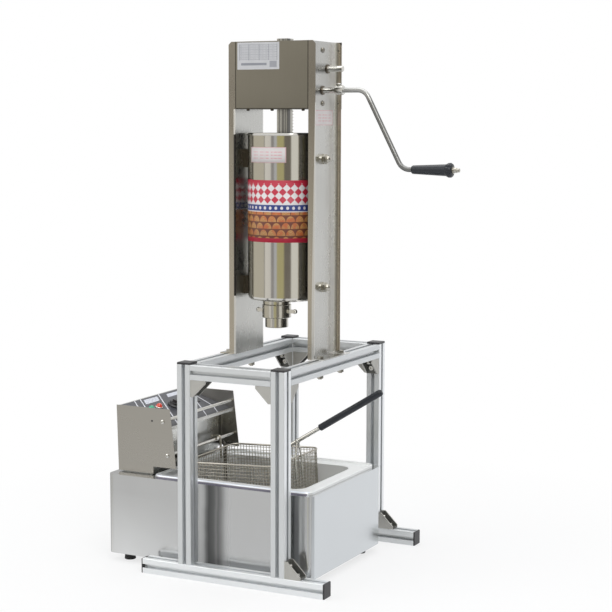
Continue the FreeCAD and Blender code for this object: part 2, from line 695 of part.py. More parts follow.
def bush(wall_x, wall, outward, y, z):
    """Flanged bush in a wall: the flange bears on the wall's inner face."""
    inner_r = SHAFT / 2 + RUNNING
    outer_r = inner_r + BUSH_WALL
    body = rod(0, 0, -BUSH_INNER_LENGTH, outer_r, BUSH_INNER_LENGTH + wall + BUSH_OUTER_LENGTH)
    flange = rod(0, 0, -BUSH_FLANGE_THICK, outer_r + BUSH_FLANGE, BUSH_FLANGE_THICK)
    shape = body.fuse(flange)
    shape = shape.cut(rod(0, 0, -BUSH_INNER_LENGTH - 1, inner_r, BUSH_INNER_LENGTH + wall + 9))
    shape.rotate(Vector(0, 0, 0), AXIS_Y, 90 * outward)
    shape.translate(Vector(wall_x, y, z))
    return shape


def shaft_bushes():
    inner_wall = BEARING_PLATE_X + BEARING_PLATE
    return group([bush(WEB_INNER, SHEET, 1, FAST_Y, FAST_Z), bush(-WEB_INNER, SHEET, -1, FAST_Y, FAST_Z),
                  bush(WEB_INNER, SHEET, 1, PRESS_Y, SLOW_Z),
                  bush(inner_wall, BEARING_PLATE, -1, PRESS_Y, SLOW_Z),
                  bush(inner_wall, BEARING_PLATE, -1, FAST_Y, FAST_Z)])


def rack_guides():
    """Two plastic blocks that guide the rack under the top plate and over the bottom plate."""
    half = RACK_WIDTH / 2 + GUIDE
    low = GEARBOX_BOTTOM + PANEL
    high = COLUMN_TOP - PANEL - GUIDE_HEIGHT
    guides = []
    for z in (low, high):
        body = rounded_block(-half, half, PRESS_Y - half, PRESS_Y + half, z, z + GUIDE_HEIGHT, 3)
        guides.append(body.cut(rack_hole(GUIDE_PLAY, z - 1, z + GUIDE_HEIGHT + 1)))
    return group(guides)


def pan_screw(length):
    """Small domed screw, its shank down from the origin."""
    head = turned([(0, 0), (SCREW * 1.15, 0), (SCREW * 0.95, SCREW * 0.5), (0, SCREW * 0.65)], 0, 0)
    return head.fuse(rod(0, 0, -length, SCREW / 2, length))


def gearbox_screws():
    """Screws through the webs into the folded tabs, and through the rear panel into the flanges."""
    screws = []
    tip = WEB_INNER + FLANGE
    for side in (-1, 1):
        for z in SCREW_ROWS:
            web_screw = pan_screw(SHEET + PANEL)
            web_screw.rotate(Vector(0, 0, 0), AXIS_Y, 90 * side)
            web_screw.translate(Vector(side * WEB_OUTER, PRESS_Y, z))
            rear_screw = pan_screw(SHEET + PANEL)
            rear_screw.rotate(Vector(0, 0, 0), AXIS_X, -90)
            rear_screw.translate(Vector(side * (WEB_OUTER + tip) / 2, COLUMN_BACK + PANEL, z))
            screws += [web_screw, rear_screw]
    return group(screws)


def toothed_rack():
    """Square bar with a toothed back face and a threaded stud for the piston."""
    half = RACK_WIDTH / 2
    bar = block(-half, half, PRESS_Y - half, PRESS_Y + half, PISTON_TOP, RACK_TOP)
    pitch = math.pi * RACK_MODULE
    slope = math.tan(math.radians(RACK_ANGLE))
    pitch_line = PRESS_Y + RACK_PITCH_LINE
    root = pitch_line - 1.25 * RACK_MODULE
    outside = PRESS_Y + half + 1
    gap_half = pitch / 4 + BACKLASH / 2
    root_half = gap_half - 1.25 * RACK_MODULE * slope
    mouth_half = gap_half + (outside - pitch_line) * slope
    first = math.ceil((RACK_TOP - RACK_TOOTHED - FAST_Z) / pitch)
    last = math.floor((RACK_TOP - FAST_Z) / pitch)
    gaps = []
    for step in range(first, last + 1):
        z = FAST_Z + step * pitch
        outline = [(root, z - root_half), (outside, z - mouth_half), (outside, z + mouth_half),
                   (root, z + root_half)]
        face = polygon([Vector(-half - 1, y, h) for y, h in outline])
        gaps.append(face.extrude(Vector(RACK_WIDTH + 2, 0, 0)))
    bar = bar.cut(Part.makeCompound(gaps))
    return bar.fuse(rod(0, PRESS_Y, PISTON_BOTTOM + 2, STUD / 2, PISTON_THICK - 2))


def piston_plate():
    """Turned disc with a seal groove, a stud hole and a pocket for the nut."""
    outer = CYLINDER_BORE / 2 - PISTON_PLAY
    groove = outer - SEAL_DEPTH
    low = (PISTON_THICK - SEAL_HEIGHT) / 2
    high = low + SEAL_HEIGHT
    pocket = PISTON_NUT_HEX / math.sqrt(3) + 2
    outline = [(pocket, 0), (outer - 1, 0), (outer, 1), (outer, low), (groove, low), (groove, high),
               (outer, high), (outer, PISTON_THICK - 1), (outer - 1, PISTON_THICK),
               (STUD / 2 + RUNNING, PISTON_THICK), (STUD / 2 + RUNNING, NUT_POCKET), (pocket, NUT_POCKET)]
    return turned(outline, 0, PRESS_Y, PISTON_BOTTOM)


def piston_seal():
    outer = CYLINDER_BORE / 2 - SLACK
    groove = CYLINDER_BORE / 2 - PISTON_PLAY - SEAL_DEPTH
    low = (PISTON_THICK - SEAL_HEIGHT) / 2
    outline = [(groove, 0), (outer - 1.5, 0), (outer, 2), (outer, SEAL_HEIGHT - 2),
               (outer - 1.5, SEAL_HEIGHT), (groove, SEAL_HEIGHT)]
    return turned(outline, 0, PRESS_Y, PISTON_BOTTOM + low)


def piston_nut():
    nut = hex_nut(STUD, PISTON_NUT_HEX, PISTON_NUT)
    nut.translate(Vector(0, PRESS_Y, PISTON_BOTTOM + NUT_POCKET - PISTON_NUT))
    return nut


# ---------------------------------------------------------------- gear train
def drive_shaft():
    """Fast shaft: from the left web behind the rack to its free end outside the right web."""
    start = -WEB_OUTER - BUSH_OUTER_LENGTH
    length = WEB_OUTER + FAST_SHAFT_END - start
    r, c = SHAFT / 2, SHAFT_CHAMFER
    groove = FAST_GROOVE_X - start
    outline = [(0, 0), (r - c, 0), (r, c), (r, groove), (r - RING_GROOVE_DEPTH, groove),
               (r - RING_GROOVE_DEPTH, groove + RING_GROOVE), (r, groove + RING_GROOVE), (r, length - c),
               (r - c, length), (0, length)]
    return turned_x(outline, start, FAST_Y, FAST_Z)


def shaft_hole(x0, x1):
    """Cutter for a shaft's hole through a wheel that spans these places along X."""
    return rod(x0 - 1, 0, 0, SHAFT / 2, x1 - x0 + 2, AXIS_X)


def rack_pinion():
    """Pinion behind the rack, a tooth pointing at the rack, with a boss on its left."""
    wheel = gear_blank(RACK_PINION_TEETH, RACK_MODULE, RACK_ANGLE, 180, RACK_PINION_WIDTH)
    boss = rod(-GEAR_HUB, 0, 0, SHAFT / 2 + BUSH_WALL, GEAR_HUB, AXIS_X)
    shape = wheel.fuse(boss).cut(shaft_hole(-GEAR_HUB, RACK_PINION_WIDTH))
    shape.translate(Vector(-RACK_PINION_WIDTH / 2, FAST_Y, FAST_Z))
    return shape


def large_gear():
    """Gear on the fast shaft, a tooth on the line to the slow shaft, lightened by holes."""
    to_slow = math.degrees(math.atan2(SLOW_Z - FAST_Z, PRESS_Y - FAST_Y))
    wheel = gear_blank(LARGE_GEAR_TEETH, GEAR_MODULE, GEAR_ANGLE, to_slow, GEAR_FACE)
    hub_r = SHAFT / 2 + GEAR_HUB_WALL
    wheel = wheel.fuse(rod(0, 0, 0, hub_r, GEAR_FACE + GEAR_HUB, AXIS_X))
    wheel = wheel.cut(shaft_hole(0, GEAR_FACE + GEAR_HUB))
    root_r = GEAR_MODULE * LARGE_GEAR_TEETH / 2 - 1.25 * GEAR_MODULE
    hole_r = (root_r - hub_r) / 2 - 3
    hole_at = (root_r + hub_r) / 2
    for n in range(GEAR_HOLES):
        a = 2 * math.pi * n / GEAR_HOLES
        y, z = hole_at * math.cos(a), hole_at * math.sin(a)
        wheel = wheel.cut(rod(-1, y, z, hole_r, GEAR_FACE + 2, AXIS_X))
    wheel.translate(Vector(GEAR_X, FAST_Y, FAST_Z))
    return wheel


def slow_pinion():
    """Pinion on the crank shaft, a gap on the line to the fast shaft."""
    to_fast = math.degrees(math.atan2(FAST_Z - SLOW_Z, FAST_Y - PRESS_Y))
    width = GEAR_FACE + PINION_EXTRA
    wheel = gear_blank(SLOW_PINION_TEETH, GEAR_MODULE, GEAR_ANGLE, to_fast + 180 / SLOW_PINION_TEETH, width)
    boss = rod(width, 0, 0, SHAFT / 2 + GEAR_HUB_WALL, GEAR_HUB, AXIS_X)
    shape = wheel.fuse(boss).cut(shaft_hole(0, width + GEAR_HUB))
    shape.translate(Vector(GEAR_X - PINION_EXTRA / 2, PRESS_Y, SLOW_Z))
    return shape


def crank_shaft():
    start = BEARING_PLATE_X - BUSH_OUTER_LENGTH
    length = HUB_X + HUB_LENGTH - HUB_END_WALL - start
    r, c = SHAFT / 2, SHAFT_CHAMFER
    return turned_x([(0, 0), (r - c, 0), (r, c), (r, length), (0, length)], start, PRESS_Y, SLOW_Z)


def crank_hub():
    """Socket on the crank shaft's end, tapped for the thumbscrew."""
    r = HUB_DIAMETER / 2
    bore = HUB_LENGTH - HUB_END_WALL
    outline = [(SHAFT / 2, 0), (r - 1, 0), (r, 1), (r, HUB_LENGTH - 1), (r - 1, HUB_LENGTH),
               (0, HUB_LENGTH), (0, bore), (SHAFT / 2, bore)]
    hub = turned_x(outline, HUB_X, PRESS_Y, SLOW_Z)
    return hub.cut(rod(HUB_X + bore / 2, PRESS_Y, SLOW_Z, THUMBSCREW / 2, HUB_DIAMETER))


def crank_thumbscrew():
    x = HUB_X + (HUB_LENGTH - HUB_END_WALL) / 2
    low = SLOW_Z + SHAFT / 2
    head_z = SLOW_Z + HUB_DIAMETER / 2 + THUMBSCREW_GAP
    screw = rod(x, PRESS_Y, low, THUMBSCREW / 2, head_z - low)
    head = rod(x, PRESS_Y, head_z, THUMBSCREW_HEAD / 2, THUMBSCREW_HEIGHT)
    rims = [e for e in head.Edges if len(e.Vertexes) == 1]
    return screw.fuse(head.makeChamfer(0.8, rims))


def crank_arm():
    """Bent rod from the hub down to the grip, turned down to a spindle inside it."""
    path = [Vector(ARM_X, PRESS_Y, SLOW_Z), Vector(BEND_X, PRESS_Y, SLOW_Z),
            Vector(LOW_BEND_X, PRESS_Y, GRIP_Z), Vector(GRIP_X, PRESS_Y, GRIP_Z)]
    arm = bent_rod(path, ARM / 2, ARM_BEND)
    return arm.fuse(rod(GRIP_X, PRESS_Y, GRIP_Z, SPINDLE / 2, GRIP_LENGTH + 2 * SLACK, AXIS_X))


def crank_grip():
    """Tapered handle with a lobed collar that turns on the spindle."""
    small, wide, large = GRIP_SMALL / 2, GRIP_WIDE / 2, GRIP_LARGE / 2
    bore = SPINDLE / 2 + SLACK
    n = GRIP_LENGTH
    collar = n * 0.84
    outline = [(bore, 0), (small - 1.5, 0), (small, 2), (wide, collar), (large, collar + 6),
               (large, n - 4), (large - 2, n - 1), (large - 5, n), (bore, n)]
    grip = turned_x(outline, GRIP_X + SLACK, PRESS_Y, GRIP_Z)
    groove_at = large + GRIP_LOBE_GROOVE / 2 - 2.0
    for k in range(GRIP_LOBES):
        angle = 2 * math.pi * k / GRIP_LOBES
        y = PRESS_Y + groove_at * math.sin(angle)
        z = GRIP_Z + groove_at * math.cos(angle)
        grip = grip.cut(rod(GRIP_X + collar, y, z, GRIP_LOBE_GROOVE / 2, n, AXIS_X))
    return grip


def crank_grip_bolt():
    """Bolt in the spindle's end that keeps the grip on."""
    x = GRIP_X + 2 * SLACK + GRIP_LENGTH
    r = GRIP_BOLT / 2
    n = GRIP_BOLT_LENGTH
    return turned_x([(0, 0), (r + 2, 0), (r + 2, 1.5), (r, 1.5), (r, n * 0.6), (r - 1, n * 0.6),
                     (r - 1, n - 1), (r - 2, n), (0, n)], x, PRESS_Y, GRIP_Z)


# ---------------------------------------------------------------- cylinder and outlet
def cylinder():
    """Drawn pot with a rolled rim and a rounded lower edge; the outlet leaves its floor off centre."""
    r = CYLINDER_RADIUS
    bore = CYLINDER_BORE / 2
    c = CYLINDER_CORNER
    h = CYLINDER_HEIGHT
    turns = [math.radians(a) for a in (0, 30, 60, 90)]
    arc = [(r - c + c * math.sin(a), c - c * math.cos(a)) for a in turns]
    bead = RIM_BEAD
    wall = [(r, h - bead), (r + bead * 0.4, h - bead * 0.9), (r + bead * 0.6, h - bead / 2),
            (r + bead * 0.3, h), (bore, h), (bore, c), (bore - c * 0.4, CYLINDER_FLOOR), (0, CYLINDER_FLOOR)]
    outline = [(0, 0)] + arc + wall
    pot = turned(outline, 0, PRESS_Y, CYLINDER_BOTTOM)
    return pot.cut(rod(0, OUTLET_Y, CYLINDER_BOTTOM - 1, NECK_BORE / 2, CYLINDER_FLOOR + 2))


def cylinder_lugs():
    """Four saddle blocks welded to the cylinder and bolted to the webs."""
    wall = rod(0, PRESS_Y, CYLINDER_BOTTOM, CYLINDER_RADIUS, CYLINDER_HEIGHT)
    lugs = []
    for z in PIN_HEIGHTS:
        body = block(CYLINDER_RADIUS - LUG_ROOT, WEB_INNER, PRESS_Y - LUG_DEPTH / 2, PRESS_Y + LUG_DEPTH / 2,
                     z - LUG_HEIGHT / 2, z + LUG_HEIGHT / 2)
        body = body.cut(wall)
        body = body.cut(rod(CYLINDER_RADIUS + LUG_SKIN, PRESS_Y, z, PIN / 2, LUG_DEPTH, AXIS_X))
        lugs += [body, mirrored_x(body)]
    return group(lugs)


def cap_nut():
    """Domed nut on the origin, along Z."""
    height = PIN * 0.8
    dome = Part.makeSphere(PIN_HEX * 0.44, Vector(0, 0, height))
    shape = hexagon(PIN_HEX, height).fuse(dome)
    reach = PIN_TAIL - 2 * WASHER
    shape = shape.common(rod(0, 0, 0, PIN_HEX, reach))
    return shape.cut(rod(0, 0, -1, PIN / 2, height + 3))


def cylinder_pins():
    """Studs from the lugs through the webs, with washers and domed nuts."""
    solids = []
    inner_end = CYLINDER_RADIUS + LUG_SKIN
    for side in (-1, 1):
        for z in PIN_HEIGHTS:
            nut_x = WEB_OUTER + 2 * WASHER
            stud = rod(0, 0, inner_end, PIN / 2, nut_x + PIN * 0.8 + 2 - inner_end)
            washer = pipe(0, 0, WEB_OUTER, PIN_HEX * 0.62, PIN / 2, 2 * WASHER)
            nut = cap_nut()
            nut.translate(Vector(0, 0, nut_x))
            for piece in (stud, washer, nut):
                piece.rotate(Vector(0, 0, 0), AXIS_Y, 90 * side)
                piece.translate(Vector(0, PRESS_Y, z))
                solids.append(piece)
    return group(solids)


def outlet_neck():
    """Threaded spout welded under the cylinder, with a collar at its root."""
    bore, thread, collar = NECK_BORE / 2, NECK_THREAD / 2, NECK_COLLAR / 2
    top = NECK_LENGTH
    step = top - NECK_COLLAR_HEIGHT
    outline = [(bore, 0), (thread - 0.8, 0), (thread, 0.8), (thread, step), (collar - 1, step),
               (collar, step + 1), (collar, top), (bore, top)]
    return turned(outline, 0, OUTLET_Y, NECK_BOTTOM)


def union_ring():
    """Wing ring that draws the nozzle up against the neck."""
    outer = RING_BORE_R + RING_WALL
    lip = NOZZLE_BARREL / 2 + SLACK
    outline = [(lip, 0), (outer - 1, 0), (outer, 1), (outer, RING_HEIGHT - 1), (outer - 1, RING_HEIGHT),
               (RING_BORE_R, RING_HEIGHT), (RING_BORE_R, RING_LIP), (lip, RING_LIP)]
    ring = turned(outline, 0, 0)
    middle = RING_HEIGHT / 2
    bore = rod(0, 0, -1, RING_BORE_R, RING_HEIGHT + 2)
    for side in (-1, 1):
        x0, x1 = sorted((side * RING_BORE_R, side * WING_REACH))
        w, t = WING_WIDTH / 2, WING_THICK / 2
        wing = block(x0, x1, -w, w, middle - t, middle + t)
        ball = Part.makeSphere(WING_BALL / 2, Vector(side * WING_REACH, 0, middle))
        ring = ring.fuse(wing.cut(bore)).fuse(ball)
    ring.translate(Vector(0, OUTLET_Y, RING_BOTTOM))
    return ring


def nozzle():
    """Barrel with a flange that the ring holds, and a ledge for the die."""
    flange_r = RING_BORE_R - NOZZLE_PLAY
    barrel = NOZZLE_BARREL / 2
    inner = barrel - NOZZLE_WALL
    low = NOZZLE_DROP + RING_LIP + SLACK
    top = low + NOZZLE_FLANGE
    outline = [(inner - DIE_SEAT, 0), (barrel - 1, 0), (barrel, 1), (barrel, low), (flange_r, low),
               (flange_r, top), (inner, top), (inner, DIE_LEDGE), (inner - DIE_SEAT, DIE_LEDGE)]
    return turned(outline, 0, OUTLET_Y, NOZZLE_BOTTOM)


def die_plate():
    """Disc with the star that shapes the dough."""
    disc = rod(0, 0, 0, NOZZLE_BARREL / 2 - NOZZLE_WALL - RUNNING, DIE_THICK)
    points = []
    for n in range(2 * STAR_POINTS):
        r = (STAR_OUTER if n % 2 == 0 else STAR_INNER) / 2
        a = math.pi * n / STAR_POINTS
        points.append(Vector(r * math.cos(a), r * math.sin(a), -1))
    disc = disc.cut(polygon(points).extrude(Vector(0, 0, DIE_THICK + 2)))
    disc.translate(Vector(0, OUTLET_Y, NOZZLE_BOTTOM + DIE_LEDGE))
    return disc


# ---------------------------------------------------------------- fryer
def fryer_case():
    """Folded case with rounded corners; the deck is cut out for the tank."""
    case = rounded_block(-FRYER_LEFT, CASE_RIGHT, -FRYER_FRONT, CASE_BACK, FOOT_HEIGHT, CASE_TOP, CASE_CORNER)
    w = CASE_WALL
    inside = rounded_block(-FRYER_LEFT + w, CASE_RIGHT - w, -FRYER_FRONT + w, CASE_BACK - w,
                           FOOT_HEIGHT - 1, CASE_TOP - w, CASE_CORNER - w)
    p = TANK_PLAY
    mouth = rounded_block(TANK_X0 - p, TANK_X1 + p, TANK_Y0 - p, TANK_Y1 + p, CASE_TOP - 5, CASE_TOP + 5,
                          TANK_CORNER + p)
    return case.cut(inside).cut(mouth)


def case_base():
    w = CASE_WALL
    return rounded_block(-FRYER_LEFT + w, CASE_RIGHT - w, -FRYER_FRONT + w, CASE_BACK - w,
                         FOOT_HEIGHT, FOOT_HEIGHT + w, CASE_CORNER - w)


def rubber_feet():
    r = FOOT_DIAMETER / 2
    outline = [(0, 0), (r - 1, 0), (r, 1), (r - 2, FOOT_HEIGHT), (0, FOOT_HEIGHT)]
    feet = []
    for x in (-FRYER_LEFT + FOOT_INSET, CASE_RIGHT - FOOT_INSET):
        for y in (-FRYER_FRONT + FOOT_INSET, CASE_BACK - FOOT_INSET):
            feet.append(turned(outline, x, y))
    return group(feet)


def oil_tank():
    """Lift-out pot with a flat rim and a bead around it; the rim rests on the deck."""
    t = TANK_WALL
    pot = rounded_block(TANK_X0, TANK_X1, TANK_Y0, TANK_Y1, TANK_BOTTOM, CASE_TOP + t, TANK_CORNER)
    rim = rounded_block(TANK_X0 - TANK_RIM_LEFT, TANK_X1 + TANK_RIM, TANK_Y0 - TANK_RIM, TANK_Y1 + TANK_RIM,
                        CASE_TOP, CASE_TOP + TANK_BEAD, TANK_RIM_CORNER)
    b = TANK_BEAD_WIDTH
    dish = rounded_block(TANK_X0 - TANK_RIM_LEFT + b, TANK_X1 + TANK_RIM - b, TANK_Y0 - TANK_RIM + b,
                         TANK_Y1 + TANK_RIM - b, CASE_TOP + t, CASE_TOP + TANK_BEAD + 1, TANK_RIM_CORNER - b)
    crest = [e for e in rim.Edges if e.BoundBox.ZMin > CASE_TOP + TANK_BEAD - 0.01]
    rim = rim.makeFillet(TANK_BEAD_WIDTH * 0.6, crest)
    inside = rounded_block(TANK_X0 + t, TANK_X1 - t, TANK_Y0 + t, TANK_Y1 - t, TANK_BOTTOM + t,
                           CASE_TOP + 20, TANK_CORNER - t)
    bottom = [e for e in inside.Edges if e.BoundBox.ZMax < TANK_BOTTOM + t + 0.01]
    inside = inside.makeFillet(TANK_FLOOR_CORNER, bottom)
    return pot.fuse(rim.cut(dish)).cut(inside)


def cheek_outline():
    """Side view of the head's cheek, as (x, z) points."""
    x, z = HEAD_X, HEAD_BOTTOM
    return [(x + CHEEK_LEAN, z), (x + CHEEK_SEAT, z), (x + CHEEK_SEAT, z + CHEEK_STEP),
            (x + CHEEK_NOSE, z + CHEEK_STEP), (x + CHEEK_TOP, HEAD_TOP), (x, HEAD_TOP)]


def panel_height(along):
    """Height of the control panel's top face at a distance from the back of the head."""
    return HEAD_TOP - PANEL - PANEL_DROP * along / PANEL_REACH


def head_housing():
    """Sheet housing of the controls: two cheeks, back, bottom and recessed front."""
    t = CHEEK
    y0, y1 = HEAD_Y0 + t, HEAD_Y1 - t
    under = panel_height(0) - PANEL - 0.5
    slope = PANEL_DROP / PANEL_REACH
    outer = [(HEAD_X + CHEEK_LEAN, HEAD_BOTTOM), (HEAD_X + CHEEK_SEAT, HEAD_BOTTOM),
             (HEAD_X + CHEEK_SEAT, HEAD_BOTTOM + CHEEK_STEP), (HEAD_X + HEAD_BOX, HEAD_BOTTOM + CHEEK_STEP),
             (HEAD_X + HEAD_BOX, under - slope * HEAD_BOX), (HEAD_X, under)]
    inner = [(HEAD_X + CHEEK_LEAN + t, HEAD_BOTTOM + t), (HEAD_X + CHEEK_SEAT - t, HEAD_BOTTOM + t),
             (HEAD_X + CHEEK_SEAT - t, HEAD_BOTTOM + CHEEK_STEP + t),
             (HEAD_X + HEAD_BOX - t, HEAD_BOTTOM + CHEEK_STEP + t),
             (HEAD_X + HEAD_BOX - t, HEAD_TOP + 5), (HEAD_X + t, HEAD_TOP + 5)]
    shell = plate_xz(outer, y0, y1).cut(plate_xz(inner, y0, y1))
    cheeks = [plate_xz(cheek_outline(), HEAD_Y0, y0), plate_xz(cheek_outline(), y1, HEAD_Y1)]
    i = HEAD_SEAT_INSET
    seat = block(HEAD_X + CHEEK_LEAN + i, HEAD_X + CHEEK_SEAT - i, HEAD_Y0 + i, HEAD_Y1 - i,
                 CASE_TOP, HEAD_BOTTOM)
    shape = fused([shell, seat] + cheeks)
    for y in element_rows():
        shape = shape.cut(rod(HEAD_X + CHEEK_SEAT, y, element_top(), ELEMENT / 2 + ELEMENT_PLAY,
                              HEAD_BOX, AXIS_X))
    return shape.cut(rod(HEAD_X - 2, BASKET_Y, HEAD_BOTTOM + GLAND_HEIGHT, GLAND / 2 - 2, 8, AXIS_X))


def on_panel(shape, along, y, lift=0.0):
    """Moves a shape drawn on the origin to the panel's top face, square to it."""
    shape.rotate(Vector(0, 0, 0), AXIS_Y, PANEL_TILT)
    tilt = math.radians(PANEL_TILT)
    x = HEAD_X + along + lift * math.sin(tilt)
    shape.translate(Vector(x, y, panel_height(along) + lift * math.cos(tilt)))
    return shape


def control_panel():
    """Sloping plate between the cheeks with a folded lower lip, pierced for knob, switch and lamps."""
    t = PANEL
    start, end = 0.5, PANEL_REACH
    outline = [(HEAD_X + start, panel_height(start)), (HEAD_X + end, panel_height(end)),
               (HEAD_X + end, panel_height(end) - PANEL_LIP),
               (HEAD_X + end - t, panel_height(end) - PANEL_LIP),
               (HEAD_X + end - t, panel_height(end) - t), (HEAD_X + start, panel_height(start) - t)]
    panel = plate_xz(outline, HEAD_Y0 + CHEEK, HEAD_Y1 - CHEEK)
    panel = panel.cut(on_panel(rod(0, 0, -5, KNOB_SHAFT / 2 + RUNNING, 10), KNOB_ALONG, HEAD_Y1 - KNOB_FAR))
    window = block(-SWITCH_WIDTH / 2, SWITCH_WIDTH / 2, -SWITCH_LENGTH / 2, SWITCH_LENGTH / 2, -5, 5)
    panel = panel.cut(on_panel(window, KNOB_ALONG, HEAD_Y0 + SWITCH_NEAR))
    for near in LAMP_NEAR:
        panel = panel.cut(on_panel(rod(0, 0, -5, LAMP / 2 - 1, 10), LAMP_ALONG, HEAD_Y0 + near))
    return panel


def thermostat_knob():
    """Round knob with a raised grip bar, on a short shaft through the panel."""
    r = KNOB / 2
    skirt = turned([(0, 0), (r, 0), (r, 2.5), (r * 0.82, 5), (r * 0.78, KNOB_HEIGHT * 0.55),
                    (r * 0.7, KNOB_HEIGHT * 0.62), (0, KNOB_HEIGHT * 0.62)], 0, 0)
    bar = block(-KNOB_GRIP / 2, KNOB_GRIP / 2, -r * 0.72, r * 0.72, 0, KNOB_HEIGHT)
    shaft = rod(0, 0, -PANEL - 8, KNOB_SHAFT / 2, PANEL + 9)
    return on_panel(skirt.fuse(bar).fuse(shaft), KNOB_ALONG, HEAD_Y1 - KNOB_FAR, SLACK)


def switch_bezel():
    """Frame of the rocker switch, set in the panel's window."""
    b = SWITCH_BEZEL
    half_w, half_l = SWITCH_WIDTH / 2, SWITCH_LENGTH / 2
    frame = block(-half_w - 1.5, half_w + 1.5, -half_l - 1.5, half_l + 1.5, 0, 1.5)
    body = block(-half_w, half_w, -half_l, half_l, -12, 0)
    hollow = block(-half_w + b, half_w - b, -half_l + b, half_l - b, -10, 5)
    return on_panel(frame.fuse(body).cut(hollow), KNOB_ALONG, HEAD_Y0 + SWITCH_NEAR)


def power_switch():
    """Rocker that tips about a pin across its frame."""
    half_w = SWITCH_WIDTH / 2 - SWITCH_BEZEL - SLACK
    half_l = SWITCH_LENGTH / 2 - SWITCH_BEZEL - 2 * SLACK
    outline = [(-half_l, -1.0), (-half_l * 0.45, -4.5), (half_l * 0.45, -4.5), (half_l, -1.0),
               (half_l * 0.97, 2.2), (0, 1.2), (-half_l * 0.97, 2.2)]
    face = polygon([Vector(-half_w, y, z) for y, z in outline])
    rocker = face.extrude(Vector(2 * half_w, 0, 0))
    rocker.rotate(Vector(0, 0, 0), AXIS_X, SWITCH_THROW)
    return on_panel(rocker, KNOB_ALONG, HEAD_Y0 + SWITCH_NEAR)


def indicator_lamps():
    r = LAMP / 2
    lamps = []
    for near in LAMP_NEAR:
        lens = turned([(0, -6), (r - 1, -6), (r - 1, 0), (r, 0), (r, 1.5), (r * 0.9, 2.5), (r * 0.6, 4),
                       (0, 4.6)], 0, 0)
        lamps.append(on_panel(lens, LAMP_ALONG, HEAD_Y0 + near))
    return group(lamps)


def head_bars():
    """Guard bar over the panel's lower edge and the bar that the basket hangs on."""
    y0 = HEAD_Y0 + CHEEK
    length = HEAD_WIDTH - 2 * CHEEK
    guard = rod(HEAD_X + GUARD_FORWARD, y0, HEAD_TOP - GUARD_BELOW, GUARD_BAR / 2, length, AXIS_Y)
    hang = rod(HANG_X, y0, HANG_Z, HANG_BAR / 2, length, AXIS_Y)
    return group([guard, hang])


def element_top():
    return HANG_Z - HANG_BAR / 2 - ELEMENT / 2 - 5


def element_rows():
    """Places across Y where the heating tubes leave the head."""
    first = BASKET_Y - (ELEMENT_LOOPS - 0.5) * ELEMENT_PITCH
    return (first, first + (2 * ELEMENT_LOOPS - 1) * ELEMENT_PITCH)


def heating_element():
    """One tube that leaves the head, drops into the tank and winds to and fro over its floor."""
    rows = element_rows()
    riser = TANK_X0 + TANK_WALL + ELEMENT_RISER
    top = element_top()
    floor = TANK_BOTTOM + TANK_WALL + ELEMENT_HEIGHT
    far = TANK_X1 - ELEMENT_FAR
    near = riser + ELEMENT_NEAR
    points = [Vector(HEAD_X + HEAD_BOX - 6, rows[0], top), Vector(riser, rows[0], top)]
    points.append(Vector(riser, rows[0], floor))
    for n in range(2 * ELEMENT_LOOPS):
        y = rows[0] + n * ELEMENT_PITCH
        if n > 0:
            points.append(Vector(far if n % 2 else near, y, floor))
        if n < 2 * ELEMENT_LOOPS - 1:
            points.append(Vector(near if n % 2 else far, y, floor))
    points += [Vector(riser, rows[1], floor), Vector(riser, rows[1], top)]
    points.append(Vector(HEAD_X + HEAD_BOX - 6, rows[1], top))
    return bent_rod(points, ELEMENT / 2, ELEMENT_PITCH / 2 - 0.5)


def cord_gland():
    """Cable gland in the back of the head."""
    r = GLAND / 2
    bore = GLAND_BORE / 2
    n = GLAND_REACH
    outline = [(bore, 0), (r - 3, 0), (r - 1, 3), (r - 1, n - 4), (r, n - 4), (r, n), (r - 2, n),
               (r - 2, n + 6), (bore, n + 6)]
    return turned_x(outline, GLAND_X, BASKET_Y, HEAD_BOTTOM + GLAND_HEIGHT)


# ---------------------------------------------------------------- basket
def hung(shape):
    """Tilts a piece of the basket about the hanging bar."""
    shape.rotate(Vector(HANG_X, 0, HANG_Z), AXIS_Y, -BASKET_TILT)
    return shape


def fry_basket():
    """Open basket with a wire rim and two hooks over the hanging bar."""
    w = BASKET_WALL
    tray = rounded_block(BASKET_X0, BASKET_X1, BASKET_Y0, BASKET_Y1, BASKET_BOTTOM, BASKET_TOP, BASKET_CORNER)
    inside = rounded_block(BASKET_X0 + w, BASKET_X1 - w, BASKET_Y0 + w, BASKET_Y1 - w, BASKET_BOTTOM + w,
                           BASKET_TOP + 5, BASKET_CORNER - w)
    r = RIM_WIRE / 2
    rim = rounded_block(BASKET_X0 - r, BASKET_X1 + r, BASKET_Y0 - r, BASKET_Y1 + r, BASKET_TOP - RIM_WIRE,
                        BASKET_TOP, BASKET_CORNER + r)
    parts = [tray, rim]
    shape = fused(parts).cut(inside)
    hook_z = HANG_Z + HANG_BAR / 2 + HOOK_WIRE / 2 + SLACK
    back = HANG_X - HANG_BAR / 2 - HOOK_WIRE / 2 - HOOK_GAP
    for y in (BASKET_Y - HOOK_PITCH / 2, BASKET_Y + HOOK_PITCH / 2):
        path = [Vector(BASKET_X0 - HOOK_WIRE / 2, y, BASKET_TOP - HOOK_ROOT),
                Vector(BASKET_X0 - HOOK_WIRE / 2, y, hook_z), Vector(back, y, hook_z),
                Vector(back, y, HANG_Z - 3)]
        shape = shape.fuse(bent_rod(path, HOOK_WIRE / 2, HOOK_BEND))
    return hung(shape)


def handle_start():
    return Vector(BASKET_X1 + BRACKET_WIRE, BASKET_Y, BASKET_TOP + BRACKET_RISE)


